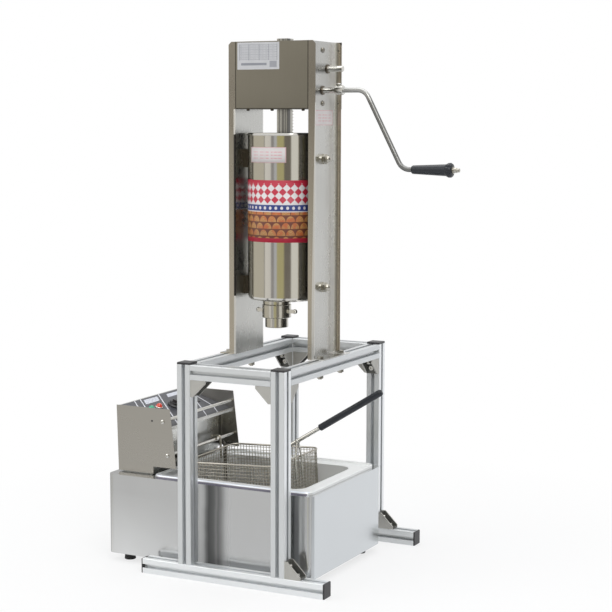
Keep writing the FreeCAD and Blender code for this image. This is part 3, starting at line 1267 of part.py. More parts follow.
def basket_handle():
    """Rod with two bracket wires that run down the end of the basket."""
    angle = math.radians(HANDLE_ANGLE)
    way = Vector(math.cos(angle), 0, math.sin(angle))
    start = handle_start()
    x = BASKET_X1 + RIM_WIRE / 2 + BRACKET_WIRE / 2
    heel = start - way * HANDLE_HEEL
    length = HANDLE_HEEL + HANDLE_ROD_LENGTH + HANDLE_GRIP_LENGTH - HANDLE_GRIP_END
    parts = [Part.makeCylinder(HANDLE_ROD / 2, length, heel, way)]
    parts.append(Part.makeSphere(HANDLE_ROD / 2 + 1.5, start))
    for side in (-1, 1):
        y = BASKET_Y + side * BRACKET_SPREAD
        path = [Vector(x, BASKET_Y + side * 2, start.z), Vector(x, y, BASKET_TOP - 4),
                Vector(x, y, BASKET_TOP - BRACKET_LEG_LENGTH)]
        parts.append(bent_rod(path, BRACKET_WIRE / 2, BRACKET_WIRE_BEND))
    return hung(fused(parts))


def basket_grip():
    """Plastic sleeve over the rod's upper end."""
    r = HANDLE_GRIP / 2
    n = HANDLE_GRIP_LENGTH
    outline = [(HANDLE_ROD / 2, 0), (r - 1, 0), (r, 1), (r, n - 4), (r - 1.5, n - 1), (r - 4, n), (0, n),
               (0, n - HANDLE_GRIP_END), (HANDLE_ROD / 2, n - HANDLE_GRIP_END)]
    grip = turned(outline, 0, 0)
    grip.rotate(Vector(0, 0, 0), AXIS_Y, 90 - HANDLE_ANGLE)
    angle = math.radians(HANDLE_ANGLE)
    start = handle_start()
    along = Vector(math.cos(angle), 0, math.sin(angle)) * HANDLE_ROD_LENGTH
    grip.translate(start + along)
    return hung(grip)


# ---------------------------------------------------------------- the machine
def all_parts():
    """Every sub-part by its node name."""
    return {
        "post_front_left": post(-1, -1),
        "post_front_right": post(1, -1),
        "post_back_left": post(-1, 1),
        "post_back_right": post(1, 1),
        "top_rail_front": bar_along_x(POST_PITCH_X - PROFILE, -POST_Y, RAIL_AXIS_Z),
        "top_rail_back": bar_along_x(POST_PITCH_X - PROFILE, POST_Y, RAIL_AXIS_Z),
        "top_rail_left": side_rail(-1),
        "top_rail_right": side_rail(1),
        "base_beam_front": bar_along_x(BEAM_LENGTH, -POST_Y, HALF),
        "base_beam_back": bar_along_x(BEAM_LENGTH, POST_Y, HALF),
        "profile_end_caps": end_caps(),
        "corner_brackets": corner_brackets(),
        "column_left": column(-1),
        "column_right": column(1),
        "column_fasteners": column_fasteners(),
        "gearbox_front_panel": gearbox_front_panel(),
        "gearbox_rear_panel": gearbox_rear_panel(),
        "gearbox_top_plate": gearbox_end_plate(COLUMN_TOP, -1, SCREW_ROWS[1]),
        "gearbox_bottom_plate": gearbox_end_plate(GEARBOX_BOTTOM, 1, SCREW_ROWS[0]),
        "bearing_plate": bearing_plate(),
        "shaft_bushes": shaft_bushes(),
        "rack_guides": rack_guides(),
        "gearbox_screws": gearbox_screws(),
        "toothed_rack": toothed_rack(),
        "piston_plate": piston_plate(),
        "piston_seal": piston_seal(),
        "piston_nut": piston_nut(),
        "drive_shaft": drive_shaft(),
        "rack_pinion": rack_pinion(),
        "large_gear": large_gear(),
        "crank_shaft": crank_shaft(),
        "slow_pinion": slow_pinion(),
        "crank_hub": crank_hub(),
        "crank_thumbscrew": crank_thumbscrew(),
        "crank_arm": crank_arm(),
        "crank_grip": crank_grip(),
        "crank_grip_bolt": crank_grip_bolt(),
        "cylinder": cylinder(),
        "cylinder_lugs": cylinder_lugs(),
        "cylinder_pins": cylinder_pins(),
        "outlet_neck": outlet_neck(),
        "union_ring": union_ring(),
        "nozzle": nozzle(),
        "die_plate": die_plate(),
        "fryer_case": fryer_case(),
        "case_base": case_base(),
        "rubber_feet": rubber_feet(),
        "oil_tank": oil_tank(),
        "head_housing": head_housing(),
        "control_panel": control_panel(),
        "thermostat_knob": thermostat_knob(),
        "switch_bezel": switch_bezel(),
        "power_switch": power_switch(),
        "indicator_lamps": indicator_lamps(),
        "head_bars": head_bars(),
        "heating_element": heating_element(),
        "cord_gland": cord_gland(),
        "fry_basket": fry_basket(),
        "basket_handle": basket_handle(),
        "basket_grip": basket_grip(),
    }


os.makedirs("parts", exist_ok=True)
for node, shape in all_parts().items():
    shape.translate(MACHINE_SHIFT)
    shape.exportStep("parts/" + node + ".step")
    print(node, "solids", len(shape.Solids), "valid", shape.isValid(), "volume", round(shape.Volume))
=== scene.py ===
"""Looks of a churro press and its table fryer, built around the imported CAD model.

Every size is in metres unless it says otherwise. The CAD boxes say where things are; the
classes below add the finishes, the small screws, the labels, the lamps, the wire basket
and the studio.
"""
from __future__ import annotations

import logging  # noqa: E402
import math  # noqa: E402
from abc import ABC, abstractmethod  # noqa: E402
from dataclasses import dataclass  # noqa: E402
from enum import Enum  # noqa: E402
from functools import cached_property  # noqa: E402
from typing import Callable, Optional, Sequence, Union  # noqa: E402

import bmesh  # noqa: E402
import bpy  # noqa: E402
from mathutils import Matrix, Vector  # noqa: E402


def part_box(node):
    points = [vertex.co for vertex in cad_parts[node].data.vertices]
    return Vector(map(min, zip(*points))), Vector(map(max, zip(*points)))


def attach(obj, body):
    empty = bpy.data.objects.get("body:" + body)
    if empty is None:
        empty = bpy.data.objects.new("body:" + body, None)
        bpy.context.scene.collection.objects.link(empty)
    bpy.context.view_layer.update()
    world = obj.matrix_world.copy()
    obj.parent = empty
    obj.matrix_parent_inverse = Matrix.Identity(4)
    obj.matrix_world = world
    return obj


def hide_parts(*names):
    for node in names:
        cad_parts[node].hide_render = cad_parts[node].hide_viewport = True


LOG = logging.getLogger("churro_press")
MM = 0.001

Colour = tuple[float, float, float]
Point = tuple[float, float, float]
Span = tuple[float, float]
Outline = Sequence[tuple[float, float]]
Stops = Sequence[tuple[float, Colour]]
Number = Union[float, "Sock"]
Tone = Union["Sock", Colour]
Shape = bmesh.types.BMesh
Mesh = bpy.types.Mesh

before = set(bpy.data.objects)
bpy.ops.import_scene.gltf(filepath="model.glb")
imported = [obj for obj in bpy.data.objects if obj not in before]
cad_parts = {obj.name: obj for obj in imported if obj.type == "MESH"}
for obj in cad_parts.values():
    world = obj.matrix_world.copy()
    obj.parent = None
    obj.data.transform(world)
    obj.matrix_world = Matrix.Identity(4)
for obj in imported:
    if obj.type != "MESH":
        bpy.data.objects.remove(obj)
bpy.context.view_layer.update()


class Axis(Enum):
    """A direction of the machine; the value is its place in a vector."""

    X = 0
    Y = 1
    Z = 2

    def stretched(self, share: float) -> Point:
        """Scale of a pattern that is drawn out along this axis."""
        return tuple(share if n == self.value else 1.0 for n in range(3))


class Body(Enum):
    """The moving groups of the CAD model that new pieces ride on."""

    STAND = "stand"
    FRYER = "fryer"
    BASKET = "basket"


class Slot(Enum):
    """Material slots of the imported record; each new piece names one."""

    PLASTIC = "black_plastic"
    SHEET = "folded_steel"
    BRIGHT = "bright_steel"
    ZINC = "zinc_fastener"
    PANEL = "panel_black"
    LENS = "lamp_lens"
    WIRE = "basket_wire"


# ---------------------------------------------------------------- measured places
def low(node: str) -> Vector:
    """Lowest corner of a CAD node."""
    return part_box(node)[0]


def high(node: str) -> Vector:
    """Highest corner of a CAD node."""
    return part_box(node)[1]


def middle(node: str) -> Vector:
    """Middle of a CAD node's box."""
    return (low(node) + high(node)) / 2


STAND_X = (low("post_front_left").x + high("post_front_right").x) / 2
PRESS_Y = middle("cylinder").y
PROFILE = high("post_front_left").x - low("post_front_left").x
LEFT, RIGHT = Vector((-1, 0, 0)), Vector((1, 0, 0))
NEAR, FAR = Vector((0, -1, 0)), Vector((0, 1, 0))
DOWN, UP = Vector((0, 0, -1)), Vector((0, 0, 1))


# ---------------------------------------------------------------- node maths
class Sock:
    """A node's output that can be written into sums; each operator adds a Math node."""

    def __init__(self, owner: Nodes, out: bpy.types.NodeSocket) -> None:
        """Keeps the tree and the output socket."""
        self.owner = owner
        self.out = out

    def _math(self, operation: str, first: Number, second: Number = 0.0) -> Sock:
        """Adds a Math node of the named operation."""
        return self.owner.node("ShaderNodeMath", {"operation": operation}, {0: first, 1: second})

    def __add__(self, other: Number) -> Sock:
        """self + other"""
        return self._math("ADD", self, other)

    __radd__ = __add__

    def __sub__(self, other: Number) -> Sock:
        """self - other"""
        return self._math("SUBTRACT", self, other)

    def __rsub__(self, other: Number) -> Sock:
        """other - self"""
        return self._math("SUBTRACT", other, self)

    def __mul__(self, other: Number) -> Sock:
        """self * other"""
        return self._math("MULTIPLY", self, other)

    __rmul__ = __mul__

    def __truediv__(self, other: Number) -> Sock:
        """self / other"""
        return self._math("DIVIDE", self, other)

    def __pow__(self, other: Number) -> Sock:
        """self ** other"""
        return self._math("POWER", self, other)

    def __gt__(self, other: Number) -> Sock:
        """1 where self is the larger, else 0."""
        return self._math("GREATER_THAN", self, other)

    def __lt__(self, other: Number) -> Sock:
        """1 where self is the smaller, else 0."""
        return self._math("LESS_THAN", self, other)

    def __abs__(self) -> Sock:
        """Distance from zero."""
        return self._math("ABSOLUTE", self)

    def sine(self) -> Sock:
        """Sine of self."""
        return self._math("SINE", self)

    def fraction(self) -> Sock:
        """What is left over a whole number."""
        return self._math("FRACT", self)

    def rounded(self) -> Sock:
        """The nearest whole number."""
        return self._math("ROUND", self)

    def least(self, other: Number) -> Sock:
        """The smaller of the two."""
        return self._math("MINIMUM", self, other)

    def most(self, other: Number) -> Sock:
        """The larger of the two."""
        return self._math("MAXIMUM", self, other)

    def between(self, start: float, end: float) -> Sock:
        """1 between two values, else 0."""
        return (self > start) * (self < end)

    def ramp(self, start: float, end: float) -> Sock:
        """0 at the start, 1 at the end, straight between and held beyond."""
        return self.owner.node("ShaderNodeMapRange", {"clamp": True}, {0: self, 1: start, 2: end})


class Nodes:
    """A node tree in the making: the one method `node` adds every node."""

    def __init__(self, tree: bpy.types.NodeTree) -> None:
        """Keeps the tree of a material, of the world or of a recipe."""
        self.tree = tree

    def node(self, kind: str, settings: Optional[dict] = None, values: Optional[dict] = None,
             out: Union[int, str] = 0) -> Sock:
        """Adds one node.

        Args:
            kind: the node's type name.
            settings: its properties, set first; "stops" fills a colour ramp.
            values: numbers, vectors or Socks by input name or place.
            out: which output to give back.

        Returns:
            The output, ready for sums.
        """
        made = self.tree.nodes.new(kind)
        for key, value in (settings or {}).items():
            if key == "stops":
                fill_ramp(made.color_ramp, value)
            else:
                setattr(made, key, value)
        for key, value in (values or {}).items():
            if isinstance(value, Sock):
                self.tree.links.new(value.out, made.inputs[key])
            else:
                made.inputs[key].default_value = value
        return Sock(self, made.outputs[out])

    def surface(self, end: str, shader: Sock) -> None:
        """Links a shader to the tree's output node of the given name."""
        self.tree.links.new(shader.out, self.tree.nodes[end].inputs["Surface"])

    def path(self, kind: str) -> Sock:
        """1 for rays of one kind, such as "Is Camera Ray"."""
        return self.node("ShaderNodeLightPath", out=kind)

    def coords(self, kind: str = "Object") -> Sock:
        """Texture coordinates, those of the piece unless another kind is named."""
        return self.node("ShaderNodeTexCoord", out=kind)

    def split(self, vector: Sock) -> tuple[Sock, Sock, Sock]:
        """The three numbers of a vector."""
        made = self.node("ShaderNodeSeparateXYZ", values={0: vector}).out.node
        return tuple(Sock(self, made.outputs[n]) for n in range(3))

    def bands(self, along: Sock, stops: Stops) -> Sock:
        """Colours that follow each other along a coordinate from 0 to 1."""
        return self.node("ShaderNodeValToRGB", {"stops": stops}, {0: along})

    def mix(self, factor: Number, first: Tone, second: Tone) -> Sock:
        """Colour between two colours.

        Args:
            factor: 0 for the first, 1 for the second.
            first: a colour or what gives one.
            second: likewise.

        Returns:
            The mixed colour.
        """
        start, end = (c if isinstance(c, Sock) else (*c, 1.0) for c in (first, second))
        return self.node("ShaderNodeMix", {"data_type": "RGBA"}, {0: factor, 6: start, 7: end}, 2)

    def blend(self, factor: Number, first: Sock, second: Sock) -> Sock:
        """Shader between two shaders."""
        return self.node("ShaderNodeMixShader", values={0: factor, 1: first, 2: second})


class Paint(Nodes):
    """A material in the making, with the base colour that it has so far."""

    def __init__(self, name: str, colour: Colour, roughness: float, metallic: float = 0.0) -> None:
        """Starts a material with one Principled shader.

        Args:
            name: the material's name.
            colour: base colour, linear.
            roughness: roughness of the whole surface.
            metallic: 1 for bare metal.
        """
        self.material = bpy.data.materials.new(name)
        self.material.use_nodes = True
        super().__init__(self.material.node_tree)
        self.shader = self.tree.nodes["Principled BSDF"]
        self.tone: Tone = colour
        self.set("Base Color", (*colour, 1.0))
        self.set("Roughness", roughness)
        self.set("Metallic", metallic)

    @cached_property
    def place(self) -> tuple[Sock, Sock, Sock]:
        """The piece's own coordinates x, y and z."""
        return self.split(self.coords())

    @cached_property
    def print_place(self) -> tuple[Sock, Sock]:
        """Shares of a film's width and height, from its UV map."""
        return self.split(self.coords("UV"))[:2]

    def set(self, name: str, value: Union[Number, tuple]) -> None:
        """Sets or links an input of the shader.

        Args:
            name: the input's name.
            value: a number or colour that stays, or what varies over the surface.
        """
        if isinstance(value, Sock):
            self.tree.links.new(value.out, self.shader.inputs[name])
        else:
            self.shader.inputs[name].default_value = value

    def cover(self, tone: Sock) -> None:
        """Gives the whole surface a new base colour."""
        self.tone = tone
        self.set("Base Color", tone)

    def lay(self, mask: Sock, tone: Tone, strength: float = 1.0) -> None:
        """Lays a colour over the base colour where the mask is 1."""
        self.cover(self.mix(mask * strength, self.tone, tone))

    def noise(self, scale: float, detail: float = 2.0, rough: float = 0.5,
              stretch: Optional[Point] = None) -> Sock:
        """Noise from 0 to 1 over the piece.

        Args:
            scale: bumps to a metre, roughly.
            detail: number of finer layers.
            rough: strength of the finer layers.
            stretch: what the coordinates are multiplied by.

        Returns:
            The noise.
        """
        place = self.coords()
        if stretch:
            place = self.node("ShaderNodeVectorMath", {"operation": "MULTIPLY"},
                              {0: place, 1: stretch})
        return self.node("ShaderNodeTexNoise", values={"Vector": place, "Scale": scale,
                                                       "Detail": detail, "Roughness": rough})

    def bump(self, height: Sock, distance: float) -> None:
        """Raises the surface by a height of 0 to 1 times the given distance."""
        raised = self.node("ShaderNodeBump", values={"Height": height, "Distance": distance})
        self.set("Normal", raised)


def fill_ramp(ramp: bpy.types.ColorRamp, stops: Stops) -> None:
    """Gives a colour ramp its stops.

    Args:
        ramp: the ramp, which starts with two stops.
        stops: place and colour of each.
    """
    while len(ramp.elements) < len(stops):
        ramp.elements.new(1.0)
    for element, (place, colour) in zip(ramp.elements, stops):
        element.position = place
        element.color = (*colour, 1.0)


def times(colour: Colour, share: float) -> Colour:
    """A colour made darker or lighter."""
    return tuple(min(1.0, c * share) for c in colour)


# ---------------------------------------------------------------- finishes
@dataclass(frozen=True)
class Finish:
    """A plain moulded or turned surface with a soft mottle; the other finishes add to it."""

    name: str
    colour: Colour
    roughness: float
    metallic: float = 0.0
    mottle: float = 0.12  # share of the colour that the pattern takes away
    mottle_scale: float = 28.0
    skin: float = 0.02 * MM  # depth of the fine bumps
    skin_scale: float = 900.0
    lift: float = 0.6  # how far the pattern lightens, as a share of the mottle

    def material(self) -> bpy.types.Material:
        """The material, built at its first use."""
        return bpy.data.materials.get(self.name) or self.build()

    def paint(self) -> Paint:
        """Starts the material with the finish's plain values."""
        return Paint(self.name, self.colour, self.roughness, self.metallic)

    def build(self) -> bpy.types.Material:
        """Writes a mottle and a fine skin.

        Returns:
            The new material.
        """
        paint = self.paint()
        self.tint(paint, paint.noise(self.mottle_scale, detail=3.0))
        paint.bump(paint.noise(self.skin_scale), self.skin)
        return paint.material

    def times(self, share: float) -> Colour:
        """The finish's colour, made darker or lighter."""
        return times(self.colour, share)

    def tint(self, paint: Paint, pattern: Sock) -> None:
        """Lets a pattern darken the colour and roughen the surface a little.

        Args:
            paint: the material in the making.
            pattern: a mottle from 0 to 1.
        """
        lift = self.mottle * self.lift
        paint.cover(paint.mix(pattern, self.times(1 - self.mottle), self.times(1 + lift)))
        paint.set("Roughness", pattern * lift + (self.roughness - lift / 2))


@dataclass(frozen=True)
class Brushed(Finish):
    """Sheet metal with fine brush lines along one axis and faint handling marks."""

    grain: Axis = Axis.Z
    grain_scale: float = 420.0
    stretch: float = 0.02  # how drawn out the brush lines are
    line_share: float = 0.6  # share of the lines in the pattern; clouds are the rest
    lines: float = 0.03 * MM  # depth of the brush lines
    smudge: float = 0.10  # roughness that a handling mark adds
    smudge_edge: Span = (0.35, 0.7)  # cloud values between which a mark sets in

    def build(self) -> bpy.types.Material:
        """Writes brush lines, cloudy smudges and their roughness.

        Returns:
            The new material.
        """
        paint = self.paint()
        brushed = paint.noise(self.grain_scale, detail=4.0, rough=0.7,
                              stretch=self.grain.stretched(self.stretch))
        cloud = paint.noise(self.mottle_scale * 0.4, detail=4.0, rough=0.6)
        pattern = brushed * self.line_share + cloud * (1 - self.line_share)
        paint.cover(paint.mix(pattern, self.times(1 - self.mottle), self.times(1 + self.mottle)))
        self.shade(paint)
        half = self.smudge / 2
        paint.set("Roughness", cloud.ramp(*self.smudge_edge) * self.smudge + (self.roughness - half)
                  + brushed * half)
        paint.bump(brushed, self.lines)
        return paint.material

    def shade(self, paint: Paint) -> None:
        """Local changes of tone; plain brushed sheet has none."""


@dataclass(frozen=True)
class ColumnSheet(Brushed):
    """Brushed channel with painted shade and reflections on its flanges and painted reflections of
    the shafts on its web.
    """

    sheet: float = 2.2 * MM  # depth within which a face belongs to a flange
    foot: Span = (0.50, 0.445)  # heights between which the web darkens downwards
    crown: Span = (0.93, 0.955)  # and upwards
    # painted shade on the right web's inner face, taken within this distance of it
    inner_edge: float = 0.5 * MM
    # painted reflection of each shaft on the right web
    shaft_reflection_height: Span = (12 * MM, 3 * MM)  # above or below a shaft
    shaft_reflection_depth: Span = (4 * MM, 20 * MM)  # behind the front flange
    # painted shade on the front flanges, lighter low down
    front_flange_shade: Colour = (0.22, 0.20, 0.165)
    front_flange_shade_gain: float = 2.05  # how much lighter it is low down
    front_flange_shade_heights: Span = (0.98, 0.62)
    # the tips and the left column's roots take a painted reflection of the web
    tip_start: float = 8.8 * MM  # from the web, low down
    tip_growth: float = 6.2 * MM  # how much further out it starts high up
    tip_heights: Span = (0.55, 0.95)
    root_width: float = 3.8 * MM
    root_heights: Span = (0.556, 0.886)  # where the root lies in shadow
    # the first colour is the painted reflection of the web, the second painted shadow on the roots
    bright: Colour = (0.66, 0.65, 0.62)
    shadow: Colour = (0.045, 0.042, 0.04)
    # painted light on the deep end of the web, in front of the rear flange
    deep: Span = (40 * MM, 16 * MM)  # in front of the rear flange
    deep_painted_light: Colour = (0.72, 0.715, 0.69)
    # painted reflection and shade in bands across the rear flange
    rear_run: Span = (2 * MM, 15 * MM)  # across the rear flange
    rear: Stops = (
        (0.0, (0.85, 0.84, 0.81)), (0.12, (0.62, 0.61, 0.58)), (0.30, (0.40, 0.38, 0.34)),
        (0.52, (0.30, 0.26, 0.21)), (0.64, (0.62, 0.56, 0.46)), (0.76, (0.52, 0.46, 0.38)),
        (0.86, (0.36, 0.31, 0.25)), (1.0, (0.42, 0.37, 0.30)))

    def shade(self, paint: Paint) -> None:
        """Paints the web, the front flange, light on the deep end of the web and reflection bands
        on the rear flange.

        Args:
            paint: the material in the making.
        """
        x, y, _ = paint.place
        lo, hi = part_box("column_right")
        self.shade_web(paint)
        self.shade_front(paint, y < lo.y + self.sheet)
        # painted light on the deep end of the web
        deep = y.ramp(*(hi.y - run for run in self.deep)) * (x > STAND_X) * (y < hi.y - self.sheet)
        paint.lay(deep, self.deep_painted_light, strength=0.9)
        paint.set("Metallic", 1.0 - deep * 0.7)
        # painted reflection and shade bands across the rear flange
        paint.lay(y > hi.y - self.sheet, paint.bands((x - lo.x).ramp(*self.rear_run), self.rear))

    def shade_web(self, paint: Paint) -> None:
        """Darkens the foot and the head, and paints shade on the right web's inner face and a
        reflection beside each shaft.

        Args:
            paint: the material in the making.
        """
        x, y, z = paint.place
        lo = low("column_right")
        paint.lay(z.ramp(*self.foot), self.times(0.55), strength=0.35)
        paint.lay(z.ramp(*self.crown), self.times(0.86), strength=0.9)
        # painted shade on the right web's inner face
        inner = x.between(lo.x - self.inner_edge, lo.x + self.inner_edge)
        paint.lay(inner, self.times(0.30), strength=0.95)
        # painted reflection of each shaft on the right web
        for shaft in ("crank_shaft", "drive_shaft"):
            centre = middle(shaft)
            shaft_reflection = abs(z - centre.z).ramp(*self.shaft_reflection_height) * (y < centre.y)
            shaft_reflection = shaft_reflection * y.ramp(*(lo.y + run for run in self.shaft_reflection_depth))
            paint.lay(shaft_reflection * (x > STAND_X), self.times(0.22), strength=0.9)

    def shade_front(self, paint: Paint, front: Sock) -> None:
        """Paints shade on the front flanges, a reflection of the web on their tips and a light or
        shadowed root.

        Args:
            paint: the material in the making.
            front: 1 on the front flanges.
        """
        x, _, z = paint.place
        # painted shade on the front flanges, lighter low down
        paint.lay(front, paint.mix(z.ramp(*self.front_flange_shade_heights), self.front_flange_shade,
                                   times(self.front_flange_shade, self.front_flange_shade_gain)))
        # painted reflection of the web on the tips and lit roots; painted shadow on the roots
        # beside the cylinder
        start = low("column_right").x + self.tip_start
        tip = x > z.ramp(*self.tip_heights) * self.tip_growth + start
        root = (x < STAND_X) * (x > high("column_left").x - self.root_width)
        root = root * (z < low("gearbox_front_panel").z)
        paint.lay(front * tip.most(root),
                  paint.mix(root * z.between(*self.root_heights), self.bright, self.shadow))


@dataclass(frozen=True)
class CoverSheet(Brushed):
    """Brushed cover with a painted shadow line where it meets the columns and along its lower edge.
    """

    # width of the painted shadow line along each seam
    seam: float = 2.1 * MM
    foot: float = 50 * MM

    def shade(self, paint: Paint) -> None:
        """Lets the foot of the cover fall off a little and draws painted shadow lines along the
        seams.

        Args:
            paint: the material in the making.
        """
        x, _, z = paint.place
        lo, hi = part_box("gearbox_front_panel")
        paint.lay(z.ramp(lo.z + self.foot, lo.z), self.times(0.8), strength=0.25)
        # painted shadow lines along the seams with the columns and along the lower edge
        edge = (x < lo.x + self.seam).most(x > hi.x - self.seam).most(z < lo.z + self.seam)
        paint.lay(edge, self.times(0.18), strength=0.8)


@dataclass(frozen=True)
class RackSteel(Brushed):
    """Ground bar with painted reflections of the room as upright light and dark bands."""

    front_share: float = 0.72
    strength: float = 0.85
    # painted reflection of the room: place across the bar and share of the colour
    reflection_bands: Outline = (
        (0.0, 1.2), (0.10, 1.1), (0.15, 0.16), (0.22, 1.0), (0.32, 0.92), (0.39, 0.14),
        (0.46, 0.55), (0.53, 0.85), (0.57, 0.16), (0.64, 0.95), (0.70, 0.12), (0.82, 0.10),
        (0.87, 1.1), (1.0, 1.25))

    def shade(self, paint: Paint) -> None:
        """Writes the painted reflection bands across the bar's two near faces.

        Args:
            paint: the material in the making.
        """
        x, y, _ = paint.place
        lo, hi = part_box("toothed_rack")
        across = x.ramp(lo.x, hi.x) * self.front_share + y.ramp(lo.y, hi.y) * (1 - self.front_share)
        stops = [(spot, self.times(share)) for spot, share in self.reflection_bands]
        paint.cover(paint.mix(self.strength, paint.tone, paint.bands(across, stops)))


@dataclass(frozen=True)
class ArmSteel(Brushed):
    """Bent round bar with painted shade down its sloping run."""

    # painted shade: drops below the top between which it sets in
    bend: Span = (14 * MM, 30 * MM)

    def shade(self, paint: Paint) -> None:
        """Paints shade on what hangs below the level run."""
        top = high("crank_arm").z
        paint.lay(paint.place[2].ramp(*(top - drop for drop in self.bend)), self.times(0.50))


@dataclass(frozen=True)
class HeadSheet(Brushed):
    """Brushed head: light outside; in the recess, painted shade at the foot of the wall and a
    painted shadow band beside the far cheek, which is painted darker.
    """

    cheek: float = 3 * MM
    inner: Colour = (0.86, 0.87, 0.85)
    # painted shade at the foot of the recess wall
    wall_foot: Span = (30 * MM, 90 * MM)
    shadow_inset: float = 12 * MM  # from the far cheek
    shadow_edge: Span = (8 * MM, 3 * MM)  # either side of that
    shadow: Colour = (0.10, 0.10, 0.095)
    # painted shade on the far cheek
    far_cheek_shade: Colour = (0.30, 0.29, 0.27)

    def shade(self, paint: Paint) -> None:
        """Greys the recess wall, paints shade at its foot and a shadow at its far end, and paints
        the far cheek darker.

        Args:
            paint: the material in the making.
        """
        _, y, z = paint.place
        lo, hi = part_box("head_housing")
        # painted shade at the foot of the recess wall
        wall = paint.mix(z.ramp(*(lo.z + rise for rise in self.wall_foot)),
                         times(self.inner, 0.6), self.inner)
        corner = abs(y - (hi.y - self.shadow_inset)).ramp(*self.shadow_edge)
        wall = paint.mix(corner * 0.7, wall, self.shadow)
        paint.lay(y.between(lo.y + self.cheek, hi.y - self.cheek), wall)
        # painted shade on the far cheek
        paint.lay(y > hi.y - self.cheek, self.far_cheek_shade, strength=0.5)


@dataclass(frozen=True)
class RolledSheet(Brushed):
    """Case sheet with soft upright roll marks, painted light low on the near side and on the right
    end, and a painted reflection of the near left post beside it.
    """

    side_depth: float = 2 * MM  # depth within which a face belongs to the near side
    # painted light on the near side, low down and towards the left
    low_part: Span = (0.15, 0.02)  # heights between which that side lightens
    left_part: Span = (-0.10, -0.30)  # and places along it
    # painted light, cool, on the right end
    end_depth: float = 3 * MM
    painted_end_light: Colour = (0.73, 0.76, 0.785)
    # painted reflection of the near left post on the near side
    sway: float = 12 * MM  # how far the streak wanders
    post_reflection: Span = (-0.1338, -0.0452)  # where it starts and ends
    post_reflection_in: Span = (0.0, 0.04)  # shares of its width in which it sets in
    post_reflection_out: Span = (0.92, 0.66)  # and fades
    post_reflection_greys: Outline = (
        (0.0, 0.64), (0.10, 0.72), (0.175, 0.58), (0.25, 0.22), (0.3125, 0.10), (0.375, 0.11),
        (0.45, 0.13), (0.5125, 0.20), (0.5625, 0.14), (0.625, 0.20), (0.70, 0.30), (0.775, 0.41),
        (0.85, 0.47), (1.0, 0.50))

    def shade(self, paint: Paint) -> None:
        """Writes the roll marks, painted light down the near side and on the right end, and the
        painted reflection of the post.

        Args:
            paint: the material in the making.
        """
        x, y, z = paint.place
        lo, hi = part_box("fryer_case")
        marks = paint.noise(scale=16.0, detail=3.0, rough=0.6, stretch=Axis.Z.stretched(0.12))
        paint.lay(marks, self.times(1.12), strength=0.35)
        # painted light low on the near side, towards the left
        near = y < lo.y + self.side_depth
        foot = near * z.ramp(*self.low_part) * x.ramp(*self.left_part)
        paint.lay(foot, self.times(1.45), strength=0.9)
        # painted light on the right end
        paint.lay(x > hi.x - self.end_depth, self.painted_end_light, strength=0.8)
        # painted reflection of the near left post, wandering a little
        wave = paint.noise(scale=9.0, stretch=(0.0, 0.0, 1.0)) - 0.5
        across = (x + wave * self.sway).ramp(*self.post_reflection)
        band = near * across.ramp(*self.post_reflection_in) * across.ramp(*self.post_reflection_out)
        paint.set("Metallic", 1.0 - band * 0.88)
        stops = [(spot, (grey, grey, grey * 0.985)) for spot, grey in self.post_reflection_greys]
        paint.lay(band, paint.bands(across, stops))


@dataclass(frozen=True)
class TankSheet(Brushed):
    """Pressed tank: a painted cool highlight on the bead, a painted shadow line under it and
    painted glints on the ledge inside.
    """

    # painted glints on the ledge inside the bead
    glint_edge: Span = (0.48, 0.60)  # noise values between which a glint sets in
    ledge_drop: Span = (12 * MM, 4 * MM)  # below the top
    ledge_run: Span = (34 * MM, 14 * MM)  # in from the near side
    glint: Colour = (0.92, 0.95, 0.98)
    # painted cool highlight on the bead
    bead_drop: float = 1.8 * MM
    bead_run: float = 9 * MM
    bead_highlight: Colour = (0.86, 0.90, 1.0)
    # painted shadow line under the bead
    line_drop: Span = (6.2 * MM, 3.2 * MM)
    line_run: float = 4 * MM
    bead_shadow_line: Colour = (0.10, 0.08, 0.16)

    def shade(self, paint: Paint) -> None:
        """Scatters painted glints inside the bead, paints a cool highlight on the bead and a shadow
        line under it.

        Args:
            paint: the material in the making.
        """
        _, y, z = paint.place
        side, top = low("oil_tank").y, high("oil_tank").z
        # painted glints on the ledge inside the bead
        glints = paint.noise(scale=110.0, detail=3.0, rough=0.7, stretch=Axis.Z.stretched(2.0))
        ledge = (z.ramp(*(top - drop for drop in self.ledge_drop))
                 * y.ramp(*(side + run for run in self.ledge_run)))
        paint.lay(ledge * glints.ramp(*self.glint_edge), self.glint, strength=0.8)
        # painted cool highlight on the bead
        bead = (z > top - self.bead_drop) * (y < side + self.bead_run)
        paint.lay(bead, self.bead_highlight, strength=0.8)
        # painted shadow line under the bead
        under = z.between(*(top - drop for drop in self.line_drop)) * (y < side + self.line_run)
        paint.lay(under, self.bead_shadow_line, strength=0.8)


@dataclass(frozen=True)
class Anodised(Finish):
    """Extruded aluminium with a satin coat: faint die lines along its length."""

    grain: Axis = Axis.Z
    stretch: float = 0.004

    def build(self) -> bpy.types.Material:
        """Writes die lines and a cloudy satin.

        Returns:
            The new material.
        """
        paint = self.paint()
        die = paint.noise(scale=380.0, detail=3.0, rough=0.6,
                          stretch=self.grain.stretched(self.stretch))
        self.tint(paint, die * 0.5 + paint.noise(scale=9.0, detail=3.0) * 0.5)
        paint.bump(die, self.skin)
        return paint.material


@dataclass(frozen=True)
class Upright(Anodised):
    """Post profile with painted light on its side towards the crank."""

    # painted light on that side of the posts
    lit: Colour = (0.96, 0.98, 1.0)

    def tint(self, paint: Paint, pattern: Sock) -> None:
        """Paints light on that side of the posts next to the crank.

        Args:
            paint: the material in the making.
            pattern: a mottle from 0 to 1.
        """
        super().tint(paint, pattern)
        # painted light on the side towards the crank
        side = paint.place[0] > middle("post_front_right").x + PROFILE * 0.48
        paint.lay(side, self.lit, strength=0.85)


